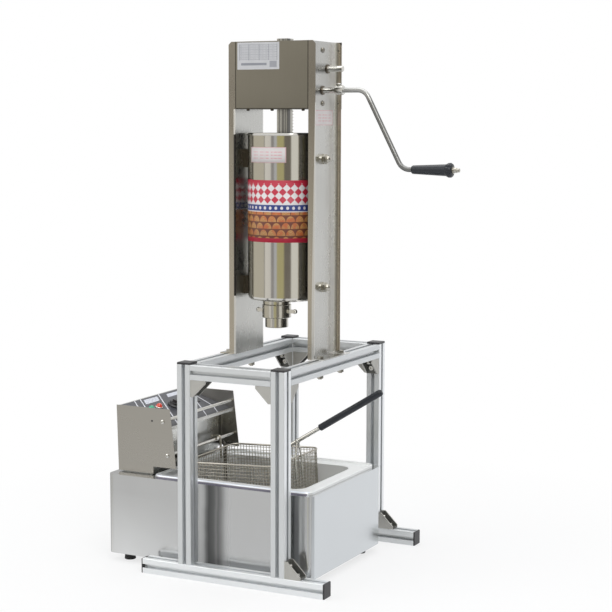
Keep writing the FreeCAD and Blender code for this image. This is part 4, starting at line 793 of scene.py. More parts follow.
@dataclass(frozen=True)
class Cast(Finish):
    """Die-cast or plated metal with a grainy skin."""

    pit_depth: float = 0.08 * MM

    def build(self) -> bpy.types.Material:
        """Writes a pitted skin over a soft mottle.

        Returns:
            The new material.
        """
        paint = self.paint()
        pits = paint.noise(scale=700.0, detail=5.0, rough=0.65)
        self.tint(paint, paint.noise(scale=60.0, detail=4.0) * 0.6 + pits * 0.4)
        paint.bump(pits, self.pit_depth)
        return paint.material


@dataclass(frozen=True)
class BracketCasting(Cast):
    """Cast bracket with painted shade in the channel between its cheeks."""

    channel_half: float = 10.7 * MM
    # painted shade in the channel
    channel_shade: Colour = (0.12, 0.12, 0.11)

    def tint(self, paint: Paint, pattern: Sock) -> None:
        """Paints shade on what lies close to the middle plane of a bracket.

        Args:
            paint: the material in the making.
            pattern: a mottle from 0 to 1.
        """
        super().tint(paint, pattern)
        x, y, _ = paint.place
        front, back = middle("post_front_right"), middle("post_back_right")
        along = abs(abs(y - (front.y + back.y) / 2) - (back.y - front.y) / 2)
        across = abs(abs(x - STAND_X) - (front.x - STAND_X))
        # painted shade in the channel between the cheeks
        paint.lay(along.least(across) < self.channel_half, self.channel_shade, strength=0.9)


@dataclass(frozen=True)
class Lens(Finish):
    """A lamp lens lit faintly from inside."""

    glow: float = 0.25
    coat: float = 0.6

    def build(self) -> bpy.types.Material:
        """Writes a glossy coloured cap.

        Returns:
            The new material.
        """
        paint = self.paint()
        ribs = paint.noise(scale=600.0, detail=1.0)
        paint.cover(paint.mix(ribs, self.times(0.8), self.colour))
        paint.set("Coat Weight", self.coat)
        paint.set("Emission Color", (*self.colour, 1.0))
        paint.set("Emission Strength", self.glow)
        return paint.material


# ---------------------------------------------------------------- printed films
@dataclass(frozen=True)
class Patch:
    """A rectangle of a film, in shares of its width and height."""

    across: Span
    up: Span

    def on(self, u: Sock, v: Sock) -> Sock:
        """1 inside the rectangle, else 0."""
        return u.between(*self.across) * v.between(*self.up)


@dataclass(frozen=True)
class Film(Finish, ABC):
    """A printed label or film."""

    def build(self) -> bpy.types.Material:
        """Writes the print and a faint orange peel.

        Returns:
            The new material.
        """
        paint = self.paint()
        self.draw(paint, *paint.print_place)
        paint.bump(paint.noise(self.skin_scale), self.skin)
        return paint.material

    @abstractmethod
    def draw(self, paint: Paint, u: Sock, v: Sock) -> None:
        """Draws the print.

        Args:
            paint: the material in the making.
            u: place across the film, 0 to 1.
            v: place up the film, 0 to 1.
        """

    @staticmethod
    def dashes(paint: Paint, scale: float, edge: Span) -> Sock:
        """Dashes of uneven length across the film, the same at each height."""
        return paint.noise(scale, detail=1.0, stretch=Axis.Z.stretched(0.0)).ramp(*edge)


@dataclass(frozen=True)
class RuledPlate(Film):
    """Pale plate with an empty ruled table: no words."""

    ground: tuple[Colour, Colour] = ((0.46, 0.46, 0.47), (0.53, 0.53, 0.54))
    ink: Colour = (0.13, 0.14, 0.17)
    row_count: float = 11.0
    rule: Span = (0.0, 0.12)
    dash: Span = (0.42, 0.76)
    table: Patch = Patch((0.05, 0.952), (0.34, 0.97))
    cells: Patch = Patch((0.07, 0.93), (0.34, 0.93))
    columns: Sequence[Span] = ((0.05, 0.062), (0.27, 0.28), (0.52, 0.53), (0.74, 0.75),
                               (0.94, 0.952))
    strip: Patch = Patch((0.09, 0.70), (0.15, 0.24))
    block: Patch = Patch((0.77, 0.94), (0.08, 0.31))

    def draw(self, paint: Paint, u: Sock, v: Sock) -> None:
        """Draws rules, columns and plain dashes over a strip and a block.

        Args:
            paint: the material in the making.
            u: place across the plate.
            v: place up the plate.
        """
        row = (v * self.row_count).fraction()
        ink = row.between(*self.rule) * self.table.on(u, v)
        ink = ink.most(sum(u.between(*post) for post in self.columns) * v.between(*self.cells.up))
        ink = ink.most(self.strip.on(u, v) * 0.9).most(self.block.on(u, v) * 0.7)
        words = row.between(*self.dash) * self.cells.on(u, v)
        ink = ink.most(words * self.dashes(paint, 420.0, (0.44, 0.52)) * 0.45)
        paint.cover(paint.mix(paint.noise(scale=60.0), *self.ground))
        paint.lay(ink.least(1.0), self.ink, strength=0.8)


@dataclass(frozen=True)
class PaleSticker(Film):
    """Pale sticker with a thin pinkish border and rows of plain dashes: no words."""

    ground: tuple[Colour, Colour] = ((0.57, 0.53, 0.52), (0.67, 0.63, 0.62))
    ink: Colour = (0.60, 0.20, 0.23)
    row_count: float = 5.0
    dash: Span = (0.30, 0.58)
    inside: Patch = Patch((0.02, 0.98), (0.04, 0.96))
    lines: Patch = Patch((0.12, 0.90), (0.12, 0.85))

    def draw(self, paint: Paint, u: Sock, v: Sock) -> None:
        """Draws the border and the dashes.

        Args:
            paint: the material in the making.
            u: place across the sticker.
            v: place up the sticker.
        """
        words = (v * self.row_count).fraction().between(*self.dash) * self.lines.on(u, v)
        words = words * self.dashes(paint, 330.0, (0.42, 0.5))
        paint.cover(paint.mix(paint.noise(scale=45.0), *self.ground))
        paint.lay(((1.0 - self.inside.on(u, v)) * 0.5).most(words * 0.7), self.ink)


@dataclass(frozen=True)
class DoughWrap(Film):
    """Generic wrap: golden scallops below, a dotted blue band, then red and cream diamonds."""

    red: Colour = (0.46, 0.018, 0.045)
    cream: Colour = (0.66, 0.62, 0.62)
    blue: Colour = (0.025, 0.045, 0.20)
    dough: tuple[Colour, Colour] = ((0.34, 0.13, 0.04), (0.62, 0.36, 0.13))
    crust: Colour = (0.50, 0.13, 0.04)
    crust_edge: Span = (0.45, 0.62)
    gap: Colour = (0.16, 0.05, 0.03)
    rounds: Span = (15.0, 9.0)  # number round the cylinder and up the wrap
    round_height: float = 0.55
    round_reach: float = 0.47
    ridges: float = 52.0
    diamonds: Span = (9.0, 4.0)  # number round the cylinder and up the wrap
    dot_count: float = 24.0
    dot_line: float = 0.555
    dot_height: float = 9.5
    dot_size: float = 0.06
    band: Span = (0.5, 0.61)
    edges: tuple[Span, Span] = ((0.49, 0.505), (0.605, 0.62))
    borders: Span = (0.07, 0.95)  # below and above these the wrap is red

    def draw(self, paint: Paint, u: Sock, v: Sock) -> None:
        """Draws the three parts of the print and their cream and red edges.

        Args:
            paint: the material in the making.
            u: place round the cylinder.
            v: place up the wrap.
        """
        self.draw_rounds(paint, u, v)
        dot_x, dot_y = (u * self.dot_count).fraction() - 0.5, (v - self.dot_line) * self.dot_height
        dots = dot_x * dot_x + dot_y * dot_y < self.dot_size
        paint.lay(v > self.band[0], paint.mix(dots, self.blue, self.cream))
        across, up = self.diamonds
        one, other = (u * across + v * up).fraction() > 0.5, (u * across - v * up).fraction() > 0.5
        paint.lay(v > self.band[1], paint.mix(abs(one - other), self.cream, self.red))
        lower, upper = (v.between(*edge) for edge in self.edges)
        paint.lay(lower.most(upper), self.cream)
        paint.lay((v < self.borders[0]).most(v > self.borders[1]), self.red)

    def draw_rounds(self, paint: Paint, u: Sock, v: Sock) -> None:
        """Draws rows of ridged golden rounds, each row half a round aside from the next.

        Args:
            paint: the material in the making.
            u: place round the cylinder.
            v: place up the wrap.
        """
        count, rows = self.rounds[0], v * self.rounds[1]
        aside = ((rows - rows.fraction()) * 0.5).fraction()
        x, y = (u * count + aside).fraction() - 0.5, rows.fraction() * self.round_height
        reach = (x * x + y * y) ** 0.5
        paint.cover(paint.mix((reach * self.ridges).sine() * 0.5 + 0.5, *self.dough))
        paint.lay(paint.noise(scale=70.0, detail=3.0).ramp(*self.crust_edge), self.crust)
        paint.lay(reach > self.round_reach, self.gap)


@dataclass(frozen=True)
class PanelFilm(Film):
    """Dark control film with slanting pale dividing lines and empty caption fields."""

    ground: tuple[Colour, Colour] = ((0.048, 0.050, 0.060), (0.074, 0.077, 0.090))
    pale: Colour = (0.72, 0.73, 0.77)
    caption: tuple[Colour, Colour] = ((0.66, 0.68, 0.74), (0.34, 0.36, 0.44))
    slant: float = 0.46
    # where each dividing line crosses the lower edge, and how far up it runs
    dividers: Sequence[tuple[Span, float]] = (
        ((-0.232, -0.218), 1.1), ((-0.146, -0.132), 1.1), ((0.129, 0.145), 1.1),
        ((0.573, 0.587), 0.5), ((0.750, 0.764), 0.22))
    steep_slant: float = 0.166
    steep: Span = (0.813, 0.827)
    steep_foot: float = 0.2
    level: Span = (0.19, 0.225)
    level_start: float = 0.44
    captions: tuple[Patch, Patch] = (Patch((-0.104, 0.102), (0.812, 0.952)),
                                     Patch((0.241, 0.50), (0.836, 0.94)))
    speck_edge: Span = (0.52, 0.60)

    def draw(self, paint: Paint, u: Sock, v: Sock) -> None:
        """Draws the dividing lines, then the two caption fields.

        Args:
            paint: the material in the making.
            u: place across the panel.
            v: place up the panel.
        """
        paint.cover(paint.mix(paint.noise(scale=80.0, detail=3.0), *self.ground))
        s = u - v * self.slant
        lines = sum(s.between(*line) * (v < top) for line, top in self.dividers)
        lines = lines + (u - v * self.steep_slant).between(*self.steep) * (v > self.steep_foot)
        lines = lines + v.between(*self.level) * (s > self.level_start)
        paint.lay(lines.least(1.0), self.pale)
        specks = paint.noise(scale=260.0, detail=1.0).ramp(*self.speck_edge) * 0.35
        first, second = (caption.on(s, v) for caption in self.captions)
        paint.lay(first.most(second), paint.mix(specks, *self.caption))


# ---------------------------------------------------------------- what each piece is made of
SHEET_STEEL: Colour = (0.56, 0.56, 0.54)
SILVER: Colour = (0.72, 0.74, 0.755)

POST_FINISH = Upright("anodised_upright", SILVER, 0.38, 0.75, mottle=0.06)
RAIL_X_FINISH = Anodised("anodised_crossways", SILVER, 0.38, 0.75, mottle=0.06, grain=Axis.X)
# a lighter, less metallic copy of the anodised finish: painted light on the front beam
PAINTED_LIGHT_BEAM_FINISH = Anodised("anodised_beam_painted_light", (0.88, 0.90, 0.915), 0.38, 0.55, mottle=0.05, grain=Axis.X)
RAIL_Y_FINISH = Anodised("anodised_lengthways", SILVER, 0.38, 0.75, mottle=0.06, grain=Axis.Y)
CAP_FINISH = Finish("cap_plastic", (0.028, 0.027, 0.030), 0.38, mottle=0.25)
BRACKET_FINISH = BracketCasting("bracket_casting", (0.48, 0.47, 0.44), 0.42, 0.5, mottle=0.14)
COLUMN_FINISH = ColumnSheet("column_sheet", SHEET_STEEL, 0.26, 1.0, lines=0.012 * MM)
PANEL_FINISH = CoverSheet("gearbox_sheet", (0.20, 0.185, 0.15), 0.33, 1.0, mottle=0.08)
BEARING_FINISH = Brushed("bearing_sheet", SHEET_STEEL, 0.34, 1.0, mottle=0.07)
RACK_FINISH = RackSteel("rack_steel", (0.40, 0.39, 0.36), 0.20, 1.0, mottle=0.2,
                        grain_scale=130.0, smudge=0.05)
ARM_FINISH = ArmSteel("arm_steel", (0.42, 0.42, 0.41), 0.36, 1.0, mottle=0.1, grain=Axis.X)
CYLINDER_FINISH = Brushed("polished_pot", (0.66, 0.64, 0.60), 0.10, 1.0, mottle=0.03,
                          lines=0.006 * MM, smudge=0.05)
OUTLET_FINISH = Brushed("turned_outlet", (0.62, 0.60, 0.55), 0.16, 1.0, mottle=0.05, grain=Axis.X,
                        lines=0.01 * MM, smudge=0.05)
MACHINED_FINISH = Brushed("milled_steel", (0.52, 0.50, 0.47), 0.24, 1.0, mottle=0.1, grain=Axis.X)
SHAFT_FINISH = Brushed("ground_shaft", (0.66, 0.65, 0.62), 0.16, 1.0, mottle=0.05, grain=Axis.X,
                       lines=0.01 * MM)
ZINC_FINISH = Cast("zinc_plate", (0.50, 0.48, 0.43), 0.26, 1.0, mottle=0.2)
NYLON_FINISH = Finish("white_nylon", (0.78, 0.76, 0.70), 0.5)
BRONZE_FINISH = Cast("oiled_bronze", (0.16, 0.135, 0.105), 0.36, 1.0)
# a darker copy of the zinc: painted shade on the gearbox cover screws
COVER_SCREW_FINISH = Cast("zinc_painted_shade", (0.27, 0.255, 0.225), 0.24, 1.0, mottle=0.2)
LUG_FINISH = Cast("blued_lug", (0.10, 0.085, 0.065), 0.38, 1.0)
SEAL_FINISH = Finish("seal_silicone", (0.70, 0.68, 0.62), 0.55)
RUBBER_FINISH = Finish("foot_rubber", (0.022, 0.022, 0.023), 0.7, skin=0.06 * MM)
GRIP_FINISH = Finish("grip_plastic", (0.010, 0.013, 0.019), 0.34, mottle=0.3, skin=0.04 * MM)
CASE_FINISH = RolledSheet("fryer_sheet", (0.55, 0.555, 0.56), 0.20, 1.0, mottle=0.05, grain=Axis.X,
                          smudge=0.08)
HEAD_FINISH = HeadSheet("head_sheet", (0.425, 0.408, 0.375), 0.28, 1.0, mottle=0.035, grain=Axis.X,
                        lines=0.005 * MM)
LIP_FINISH = Brushed("lip_sheet", (0.60, 0.60, 0.58), 0.28, 1.0, mottle=0.06, grain=Axis.Y)
# a much lighter, less metallic copy of the stainless sheet: painted light inside the tank
TANK_FINISH = TankSheet("tank_sheet", (0.95, 0.97, 0.96), 0.38, 0.5, mottle=0.05, grain=Axis.X,
                        lines=0.01 * MM)
ELEMENT_FINISH = Finish("element_sheath", (0.10, 0.095, 0.085), 0.40, 0.9, mottle=0.35,
                        mottle_scale=90.0)
BAR_FINISH = Brushed("bar_steel", (0.68, 0.67, 0.63), 0.18, 1.0, mottle=0.05, grain=Axis.Y,
                     lines=0.01 * MM)
WIRE_FINISH = Finish("drawn_wire", (0.52, 0.49, 0.43), 0.30, 0.95, mottle=0.2, mottle_scale=160.0)
KNOB_FINISH = Finish("knob_plastic", (0.018, 0.018, 0.020), 0.30, mottle=0.2)
SWITCH_FINISH = Finish("switch_plastic", (0.020, 0.020, 0.022), 0.28, mottle=0.2)
GREEN_LENS = Lens("lens_green", (0.02, 0.36, 0.20), 0.2)
RED_LENS = Lens("lens_red", (0.70, 0.06, 0.03), 0.2)
DATA_PLATE = RuledPlate("data_plate", (0.58, 0.59, 0.61), 0.5)
STICKER = PaleSticker("pale_sticker", (0.68, 0.65, 0.63), 0.5)
WRAP = DoughWrap("dough_wrap", (0.5, 0.1, 0.1), 0.38)
CONTROL_FILM = PanelFilm("control_film", (0.12, 0.12, 0.13), 0.40)

CAD_FINISHES: dict[Finish, tuple[str, ...]] = {
    POST_FINISH: ("post_front_left", "post_front_right", "post_back_left", "post_back_right"),
    RAIL_X_FINISH: ("top_rail_front", "top_rail_back", "base_beam_back"),
    PAINTED_LIGHT_BEAM_FINISH: ("base_beam_front",),
    RAIL_Y_FINISH: ("top_rail_left", "top_rail_right"),
    CAP_FINISH: ("profile_end_caps", "cord_gland"),
    BRACKET_FINISH: ("corner_brackets",),
    COLUMN_FINISH: ("column_left", "column_right"),
    PANEL_FINISH: ("gearbox_front_panel", "gearbox_rear_panel", "gearbox_top_plate",
                   "gearbox_bottom_plate"),
    BEARING_FINISH: ("bearing_plate",),
    BRONZE_FINISH: ("shaft_bushes",),
    NYLON_FINISH: ("rack_guides",),
    COVER_SCREW_FINISH: ("gearbox_screws",),
    RACK_FINISH: ("toothed_rack",),
    OUTLET_FINISH: ("piston_plate", "outlet_neck", "union_ring", "nozzle", "die_plate"),
    SEAL_FINISH: ("piston_seal",),
    ZINC_FINISH: ("column_fasteners", "piston_nut", "crank_grip_bolt", "cylinder_pins"),
    SHAFT_FINISH: ("drive_shaft", "crank_shaft", "crank_hub", "crank_thumbscrew"),
    MACHINED_FINISH: ("rack_pinion", "large_gear", "slow_pinion"),
    ARM_FINISH: ("crank_arm",),
    GRIP_FINISH: ("crank_grip", "basket_grip"),
    CYLINDER_FINISH: ("cylinder",),
    LUG_FINISH: ("cylinder_lugs",),
    CASE_FINISH: ("fryer_case", "case_base"),
    RUBBER_FINISH: ("rubber_feet",),
    TANK_FINISH: ("oil_tank",),
    HEAD_FINISH: ("head_housing",),
    LIP_FINISH: ("control_panel",),
    KNOB_FINISH: ("thermostat_knob",),
    SWITCH_FINISH: ("switch_bezel", "power_switch"),
    RED_LENS: ("indicator_lamps",),
    BAR_FINISH: ("head_bars", "basket_handle"),
    ELEMENT_FINISH: ("heating_element",),
    WIRE_FINISH: ("fry_basket",),
}


def dress_cad() -> None:
    """Gives every carried-over CAD node its finish."""
    for finish, nodes in CAD_FINISHES.items():
        for node in nodes:
            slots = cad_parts[node].data.materials
            slots.clear()
            slots.append(finish.material())


# ---------------------------------------------------------------- mesh helpers
MERGE = 0.001 * MM  # corners closer than this are one
NO_AREA = 1e-14  # a face smaller than this has collapsed


def shown(name: str, mesh: Mesh) -> bpy.types.Object:
    """Links a mesh into the scene.

    Args:
        name: the object's name.
        mesh: its mesh.

    Returns:
        The object, at the origin.
    """
    made = bpy.data.objects.new(name, mesh)
    bpy.context.scene.collection.objects.link(made)
    return made


def piece(name: str, mesh: Mesh, finish: Finish, body: Body, slot: Slot) -> bpy.types.Object:
    """Puts a finished mesh in the scene and on its body.

    Args:
        name: the piece's name.
        mesh: its mesh, already in place.
        finish: what it is made of.
        body: what it moves with.
        slot: the record's material slot; not used.

    Returns:
        The new object.
    """
    made = shown(name, mesh)
    if not mesh.materials:
        mesh.materials.append(finish.material())
    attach(made, body.value)
    LOG.info("%s: %d faces on %s", name, len(mesh.polygons), body.value)
    return made


def from_bmesh(name: str, shape: Shape, smooth: bool = True) -> Mesh:
    """Turns a bmesh into a mesh with outward faces.

    Args:
        name: the mesh's name.
        shape: the bmesh, which is freed.
        smooth: whether its faces are shaded smooth.

    Returns:
        The mesh.
    """
    bmesh.ops.remove_doubles(shape, verts=shape.verts, dist=MERGE)
    bmesh.ops.recalc_face_normals(shape, faces=shape.faces)
    mesh = bpy.data.meshes.new(name)
    shape.to_mesh(mesh)
    shape.free()
    for polygon in mesh.polygons:
        polygon.use_smooth = smooth
    return mesh


def circle(steps: int) -> list[tuple[float, float]]:
    """Points round a circle of radius 1."""
    return [(math.cos(a), math.sin(a)) for a in (2 * math.pi * n / steps for n in range(steps))]


def bridge(shape: Shape, rings: list[list[bmesh.types.BMVert]]) -> None:
    """Joins each ring of vertices to the next with a band of faces.

    Args:
        shape: the bmesh that they are in.
        rings: rings of equally many vertices, in order.
    """
    for first, second in zip(rings, rings[1:]):
        for corners in zip(first, first[1:] + first[:1], second[1:] + second[:1], second):
            shape.faces.new(corners)


def turned(outline: Outline, turn: Matrix, steps: int = 32) -> Shape:
    """Turns an outline of (radius, height) points about Z, then places it.

    Args:
        outline: points from the axis round to the axis again.
        turn: where the shape goes.
        steps: sides round the axis.

    Returns:
        The shape, not yet a mesh.
    """
    shape = bmesh.new()
    bridge(shape, [[shape.verts.new((radius * c, radius * s, height)) for c, s in circle(steps)]
                   for radius, height in outline])
    bmesh.ops.remove_doubles(shape, verts=shape.verts, dist=MERGE / 10)
    dead = [f for f in shape.faces if f.calc_area() < NO_AREA]
    bmesh.ops.delete(shape, geom=dead, context="FACES_ONLY")
    shape.transform(turn)
    return shape


def facing(place: Vector, direction: Vector) -> Matrix:
    """Matrix that takes +Z to a direction and the origin to a place."""
    return Matrix.Translation(place) @ direction.to_track_quat("Z", "Y").to_matrix().to_4x4()


def sheet_patch(name: str, spot: Callable[[float, float], Vector], columns: int, rows: int,
                thick: float, out: Callable[[float, float], Vector]) -> Mesh:
    """Thin sheet over a surface, with a UV map that runs 0 to 1 across its front.

    Args:
        name: the mesh's name.
        spot: point on the carrying surface for (u, v).
        columns: cells along u.
        rows: cells along v.
        thick: how far the sheet stands out.
        out: outward direction of the surface for (u, v).

    Returns:
        A closed thin mesh.
    """
    shape = bmesh.new()
    layer = shape.loops.layers.uv.new("UVMap")
    front, back = {}, {}
    for i in range(columns + 1):
        for j in range(rows + 1):
            u, v = i / columns, j / rows
            base = spot(u, v)
            back[i, j] = shape.verts.new(base)
            front[i, j] = shape.verts.new(base + out(u, v) * thick)

    def quad(corners: list[bmesh.types.BMVert], places: list[tuple[int, int]]) -> None:
        """One face whose corners have the UV places of their cells."""
        for loop, (i, j) in zip(shape.faces.new(corners).loops, places):
            loop[layer].uv = (i / columns, j / rows)

    for i in range(columns):
        for j in range(rows):
            cell = [(i, j), (i + 1, j), (i + 1, j + 1), (i, j + 1)]
            quad([front[c] for c in cell], cell)
            quad([back[c] for c in reversed(cell)], cell[::-1])
    border = ([(i, 0) for i in range(columns)] + [(columns, j) for j in range(rows)]
              + [(i, rows) for i in range(columns, 0, -1)] + [(0, j) for j in range(rows, 0, -1)])
    for a, b in zip(border, border[1:] + border[:1]):
        quad([back[a], back[b], front[b], front[a]], [a, b, b, a])
    return from_bmesh(name, shape, smooth=columns > 2)


def bent_wire(name: str, route: list[Point], radius: float, bend: float, sides: int = 12,
              steps: int = 6) -> Mesh:
    """Round wire along straight runs with rounded corners and flat ends.

    Args:
        name: the mesh's name.
        route: corner points.
        radius: wire radius.
        bend: radius of the corners.
        sides: sides round the wire.
        steps: straight pieces in a corner.

    Returns:
        A closed mesh.
    """
    points = [Vector(p) for p in route]
    line = [points[0]]
    for before, corner, after in zip(points, points[1:], points[2:]):
        way_in, way_out = (corner - before).normalized(), (after - corner).normalized()
        turn = way_in.angle(way_out)
        centre = corner + (way_out - way_in).normalized() * (bend / math.cos(turn / 2))
        start = corner - way_in * (bend * math.tan(turn / 2))
        axis = way_in.cross(way_out).normalized()
        line += [centre + Matrix.Rotation(turn * n / steps, 3, axis) @ (start - centre)
                 for n in range(steps + 1)]
    line.append(points[-1])
    shape = bmesh.new()
    rings = []
    side = (line[1] - line[0]).orthogonal()
    for before, point, after in zip(line[:1] + line, line, line[1:] + line[-1:]):
        way = (after - before).normalized()
        side = (side - way * side.dot(way)).normalized()
        other = way.cross(side)
        rings.append([shape.verts.new(point + (side * c + other * s) * radius)
                      for c, s in circle(sides)])
    bridge(shape, rings)
    for end in (rings[0], rings[-1]):
        shape.faces.new(end)
    return from_bmesh(name, shape)


# ---------------------------------------------------------------- geometry-node recipes
class Recipe(Nodes):
    """A Geometry Nodes tree with named inputs that is baked to a plain mesh."""

    def __init__(self, name: str, inputs: dict[str, str]) -> None:
        """Starts a tree.

        Args:
            name: the tree's name.
            inputs: socket type by input name, after the geometry input.
        """
        super().__init__(bpy.data.node_groups.new(name, "GeometryNodeTree"))
        face = self.tree.interface
        face.new_socket("Geometry", in_out="INPUT", socket_type="NodeSocketGeometry")
        self.names = {key: face.new_socket(key, in_out="INPUT", socket_type=kind).identifier
                      for key, kind in inputs.items()}
        face.new_socket("Geometry", in_out="OUTPUT", socket_type="NodeSocketGeometry")
        self.given = self.tree.nodes.new("NodeGroupInput")
        self.result = self.tree.nodes.new("NodeGroupOutput")

    def input(self, name: str) -> Sock:
        """A named input of the tree."""
        return Sock(self, self.given.outputs[name])

    def vector(self, x: Number = 0.0, y: Number = 0.0, z: Number = 0.0) -> Sock:
        """A vector from three numbers."""
        return self.node("ShaderNodeCombineXYZ", values={0: x, 1: y, 2: z})

    def copies(self, points: Sock, shape: Sock, **how: Sock) -> Sock:
        """Instances of a shape on points; the keywords link more inputs by name."""
        return self.node("GeometryNodeInstanceOnPoints",
                         values={"Points": points, "Instance": shape, **how})

    def real(self, geometry: Sock) -> Sock:
        """Instances made plain geometry."""
        return self.node("GeometryNodeRealizeInstances", values={0: geometry})

    def close(self, geometry: Sock, finish: Finish) -> None:
        """Ends the tree in Realize Instances and Set Material.

        Args:
            geometry: what the recipe makes.
            finish: what it is made of.
        """
        solid = self.node("GeometryNodeSetMaterial",
                          values={0: self.real(geometry), "Material": finish.material()})
        self.tree.links.new(solid.out, self.result.inputs[0])

    def bake(self, name: str, anchors: Mesh, values: dict) -> Mesh:
        """Runs the tree over anchor points.

        Args:
            name: the new mesh's name.
            anchors: the mesh that carries the points.
            values: value by input name.

        Returns:
            The plain result.
        """
        holder = shown(name + "_holder", anchors)
        modifier = holder.modifiers.new("recipe", "NODES")
        modifier.node_group = self.tree
        for key, value in values.items():
            modifier[self.names[key]] = value
        bpy.context.view_layer.update()
        evaluated = holder.evaluated_get(bpy.context.evaluated_depsgraph_get())
        mesh = bpy.data.meshes.new_from_object(evaluated)
        mesh.name = name
        holder.modifiers.remove(modifier)
        bpy.data.objects.remove(holder)
        return mesh


class Fastener:
    """One small fastener, repeated on points that each have a facing direction."""

    FACING = "facing"
    SIDES = 20
    SOCKET_DEPTH = 0.9  # as a share of the socket's radius

    def __init__(self, name: str, outline: Outline, finish: Finish, socket: float = 0.0) -> None:
        """Makes the shape to repeat.

        Args:
            name: name of the fastener.
            outline: (radius, height) points in millimetres, base at height 0.
            finish: its material.
            socket: radius in millimetres of a hexagon socket in the head; 0 for none.
        """
        self.finish = finish
        points = [(radius * MM, height * MM) for radius, height in outline]
        shape = turned(points, Matrix.Identity(4), self.SIDES)
        if socket:
            self.add_socket(shape, socket * MM, max(height for _, height in points))
        self.template = from_bmesh(name + "_shape", shape, smooth=False)

    @classmethod
    def add_socket(cls, shape: Shape, radius: float, top: float) -> None:
        """Sinks a hexagon socket into the flat top of the head.

        Args:
            shape: the turned head.
            radius: distance from the axis to the socket's corners.
            top: height of the head.
        """
        roof = [f for f in shape.faces if all(abs(v.co.z - top) < MERGE / 10 for v in f.verts)]
        bmesh.ops.delete(shape, geom=roof, context="FACES_ONLY")
        rim = {v for e in shape.edges if e.is_boundary for v in e.verts}
        rings = [sorted(rim, key=lambda v: math.atan2(v.co.y, v.co.x))]
        for drop in (0.0, radius * cls.SOCKET_DEPTH):
            ring = []
            for vert in rings[0]:
                a = math.atan2(vert.co.y, vert.co.x)
                side = (a + math.pi / 6) % (math.pi / 3) - math.pi / 6
                r = radius * math.cos(math.pi / 6) / math.cos(side)
                ring.append(shape.verts.new((r * math.cos(a), r * math.sin(a), top - drop)))
            rings.append(ring)
        bridge(shape, rings)
        shape.faces.new(rings[-1])

    def place(self, name: str, spots: list[tuple[Vector, Vector]], body: Body,
              slot: Slot) -> bpy.types.Object:
        """Puts the fastener on every spot.

        Args:
            name: name of the new piece.
            spots: (place, direction) pairs.
            body: what it moves with.
            slot: the record's material slot.

        Returns:
            The piece.
        """
        points = bpy.data.meshes.new(name + "_points")
        points.from_pydata([place for place, _ in spots], [], [])
        arrows = points.attributes.new(self.FACING, "FLOAT_VECTOR", "POINT")
        for n, (_, direction) in enumerate(spots):
            arrows.data[n].vector = direction
        holder = shown(name + "_shape", self.template)
        recipe = Recipe(name, {"Size": "NodeSocketFloat", "Shape": "NodeSocketObject"})
        way = recipe.node("GeometryNodeInputNamedAttribute", {"data_type": "FLOAT_VECTOR"},
                          {"Name": self.FACING})
        turn = recipe.node("FunctionNodeAlignRotationToVector", {"axis": "Z"}, {"Vector": way})
        shape = recipe.node("GeometryNodeObjectInfo", values={"Object": recipe.input("Shape")},
                            out="Geometry")
        recipe.close(recipe.copies(recipe.input("Geometry"), shape, Rotation=turn,
                                   Scale=recipe.input("Size")), self.finish)
        mesh = recipe.bake(name, points, {"Size": 1.0, "Shape": holder})
        bpy.data.objects.remove(holder)
        return piece(name, mesh, self.finish, body, slot)


# ---------------------------------------------------------------- stand
@dataclass
class Stand:
    """Small screws of the slotted-profile stand."""

    bracket_leg: float = 34 * MM
    bracket_wall: float = 3 * MM
    hole_share: float = 0.62  # place of a hole along its leg
    screw_outline: Outline = ((0, 0), (5.8, 0), (5.8, 5.625), (5.336, 6.9), (4.64, 7.5), (0, 7.5))
    screw_socket: float = 2.436
    stud_outline: Outline = ((0, 0), (3.4, 0), (3.4, 2.6), (2.0, 3.6), (0, 3.6))
    stud_places: tuple[float, ...] = (-59 * MM, -4 * MM, 66 * MM)
    stud_inset: float = 11 * MM

    def build(self) -> None:
        """Makes the bracket screws and the studs under the gearbox cover."""
        screw = Fastener("bracket_screw", self.screw_outline, SHAFT_FINISH, self.screw_socket)
        screw.place("bracket_screws", self.spots(), Body.STAND, Slot.ZINC)
        y = low("gearbox_front_panel").y + self.stud_inset
        under = low("gearbox_bottom_plate").z
        stud = Fastener("cover_stud", self.stud_outline, LUG_FINISH)
        stud.place("cover_studs", [(Vector((STAND_X + x, y, under)), DOWN)
                                   for x in self.stud_places], Body.STAND, Slot.ZINC)

    def spots(self) -> list[tuple[Vector, Vector]]:
        """Places and directions of the screws, two to a bracket.

        Returns:
            (place, direction) pairs.
        """
        found = []
        for name in ("post_front_left", "post_front_right", "post_back_left", "post_back_right"):
            centre = middle(name)
            under = Vector((centre.x, centre.y, high(name).z - PROFILE))
            on_right = centre.x > STAND_X
            for way in (LEFT if on_right else RIGHT, NEAR if centre.y > 0 else FAR):
                found += self.pair(under + way * (PROFILE / 2), way, DOWN)
            if on_right:
                foot = Vector((centre.x, centre.y, low(name).z))
                found += self.pair(foot + RIGHT * (PROFILE / 2), RIGHT, UP)
        return found

    def pair(self, corner: Vector, level: Vector, upright: Vector) -> list[tuple[Vector, Vector]]:
        """The two screws of one bracket.

        Args:
            corner: where its legs meet.
            level: direction of the level leg.
            upright: direction of the leg on the post.

        Returns:
            (place, direction) pairs.
        """
        reach, wall = self.bracket_leg * self.hole_share, self.bracket_wall
        return [(corner + level * reach + upright * wall, upright),
                (corner + level * wall + upright * reach, level)]


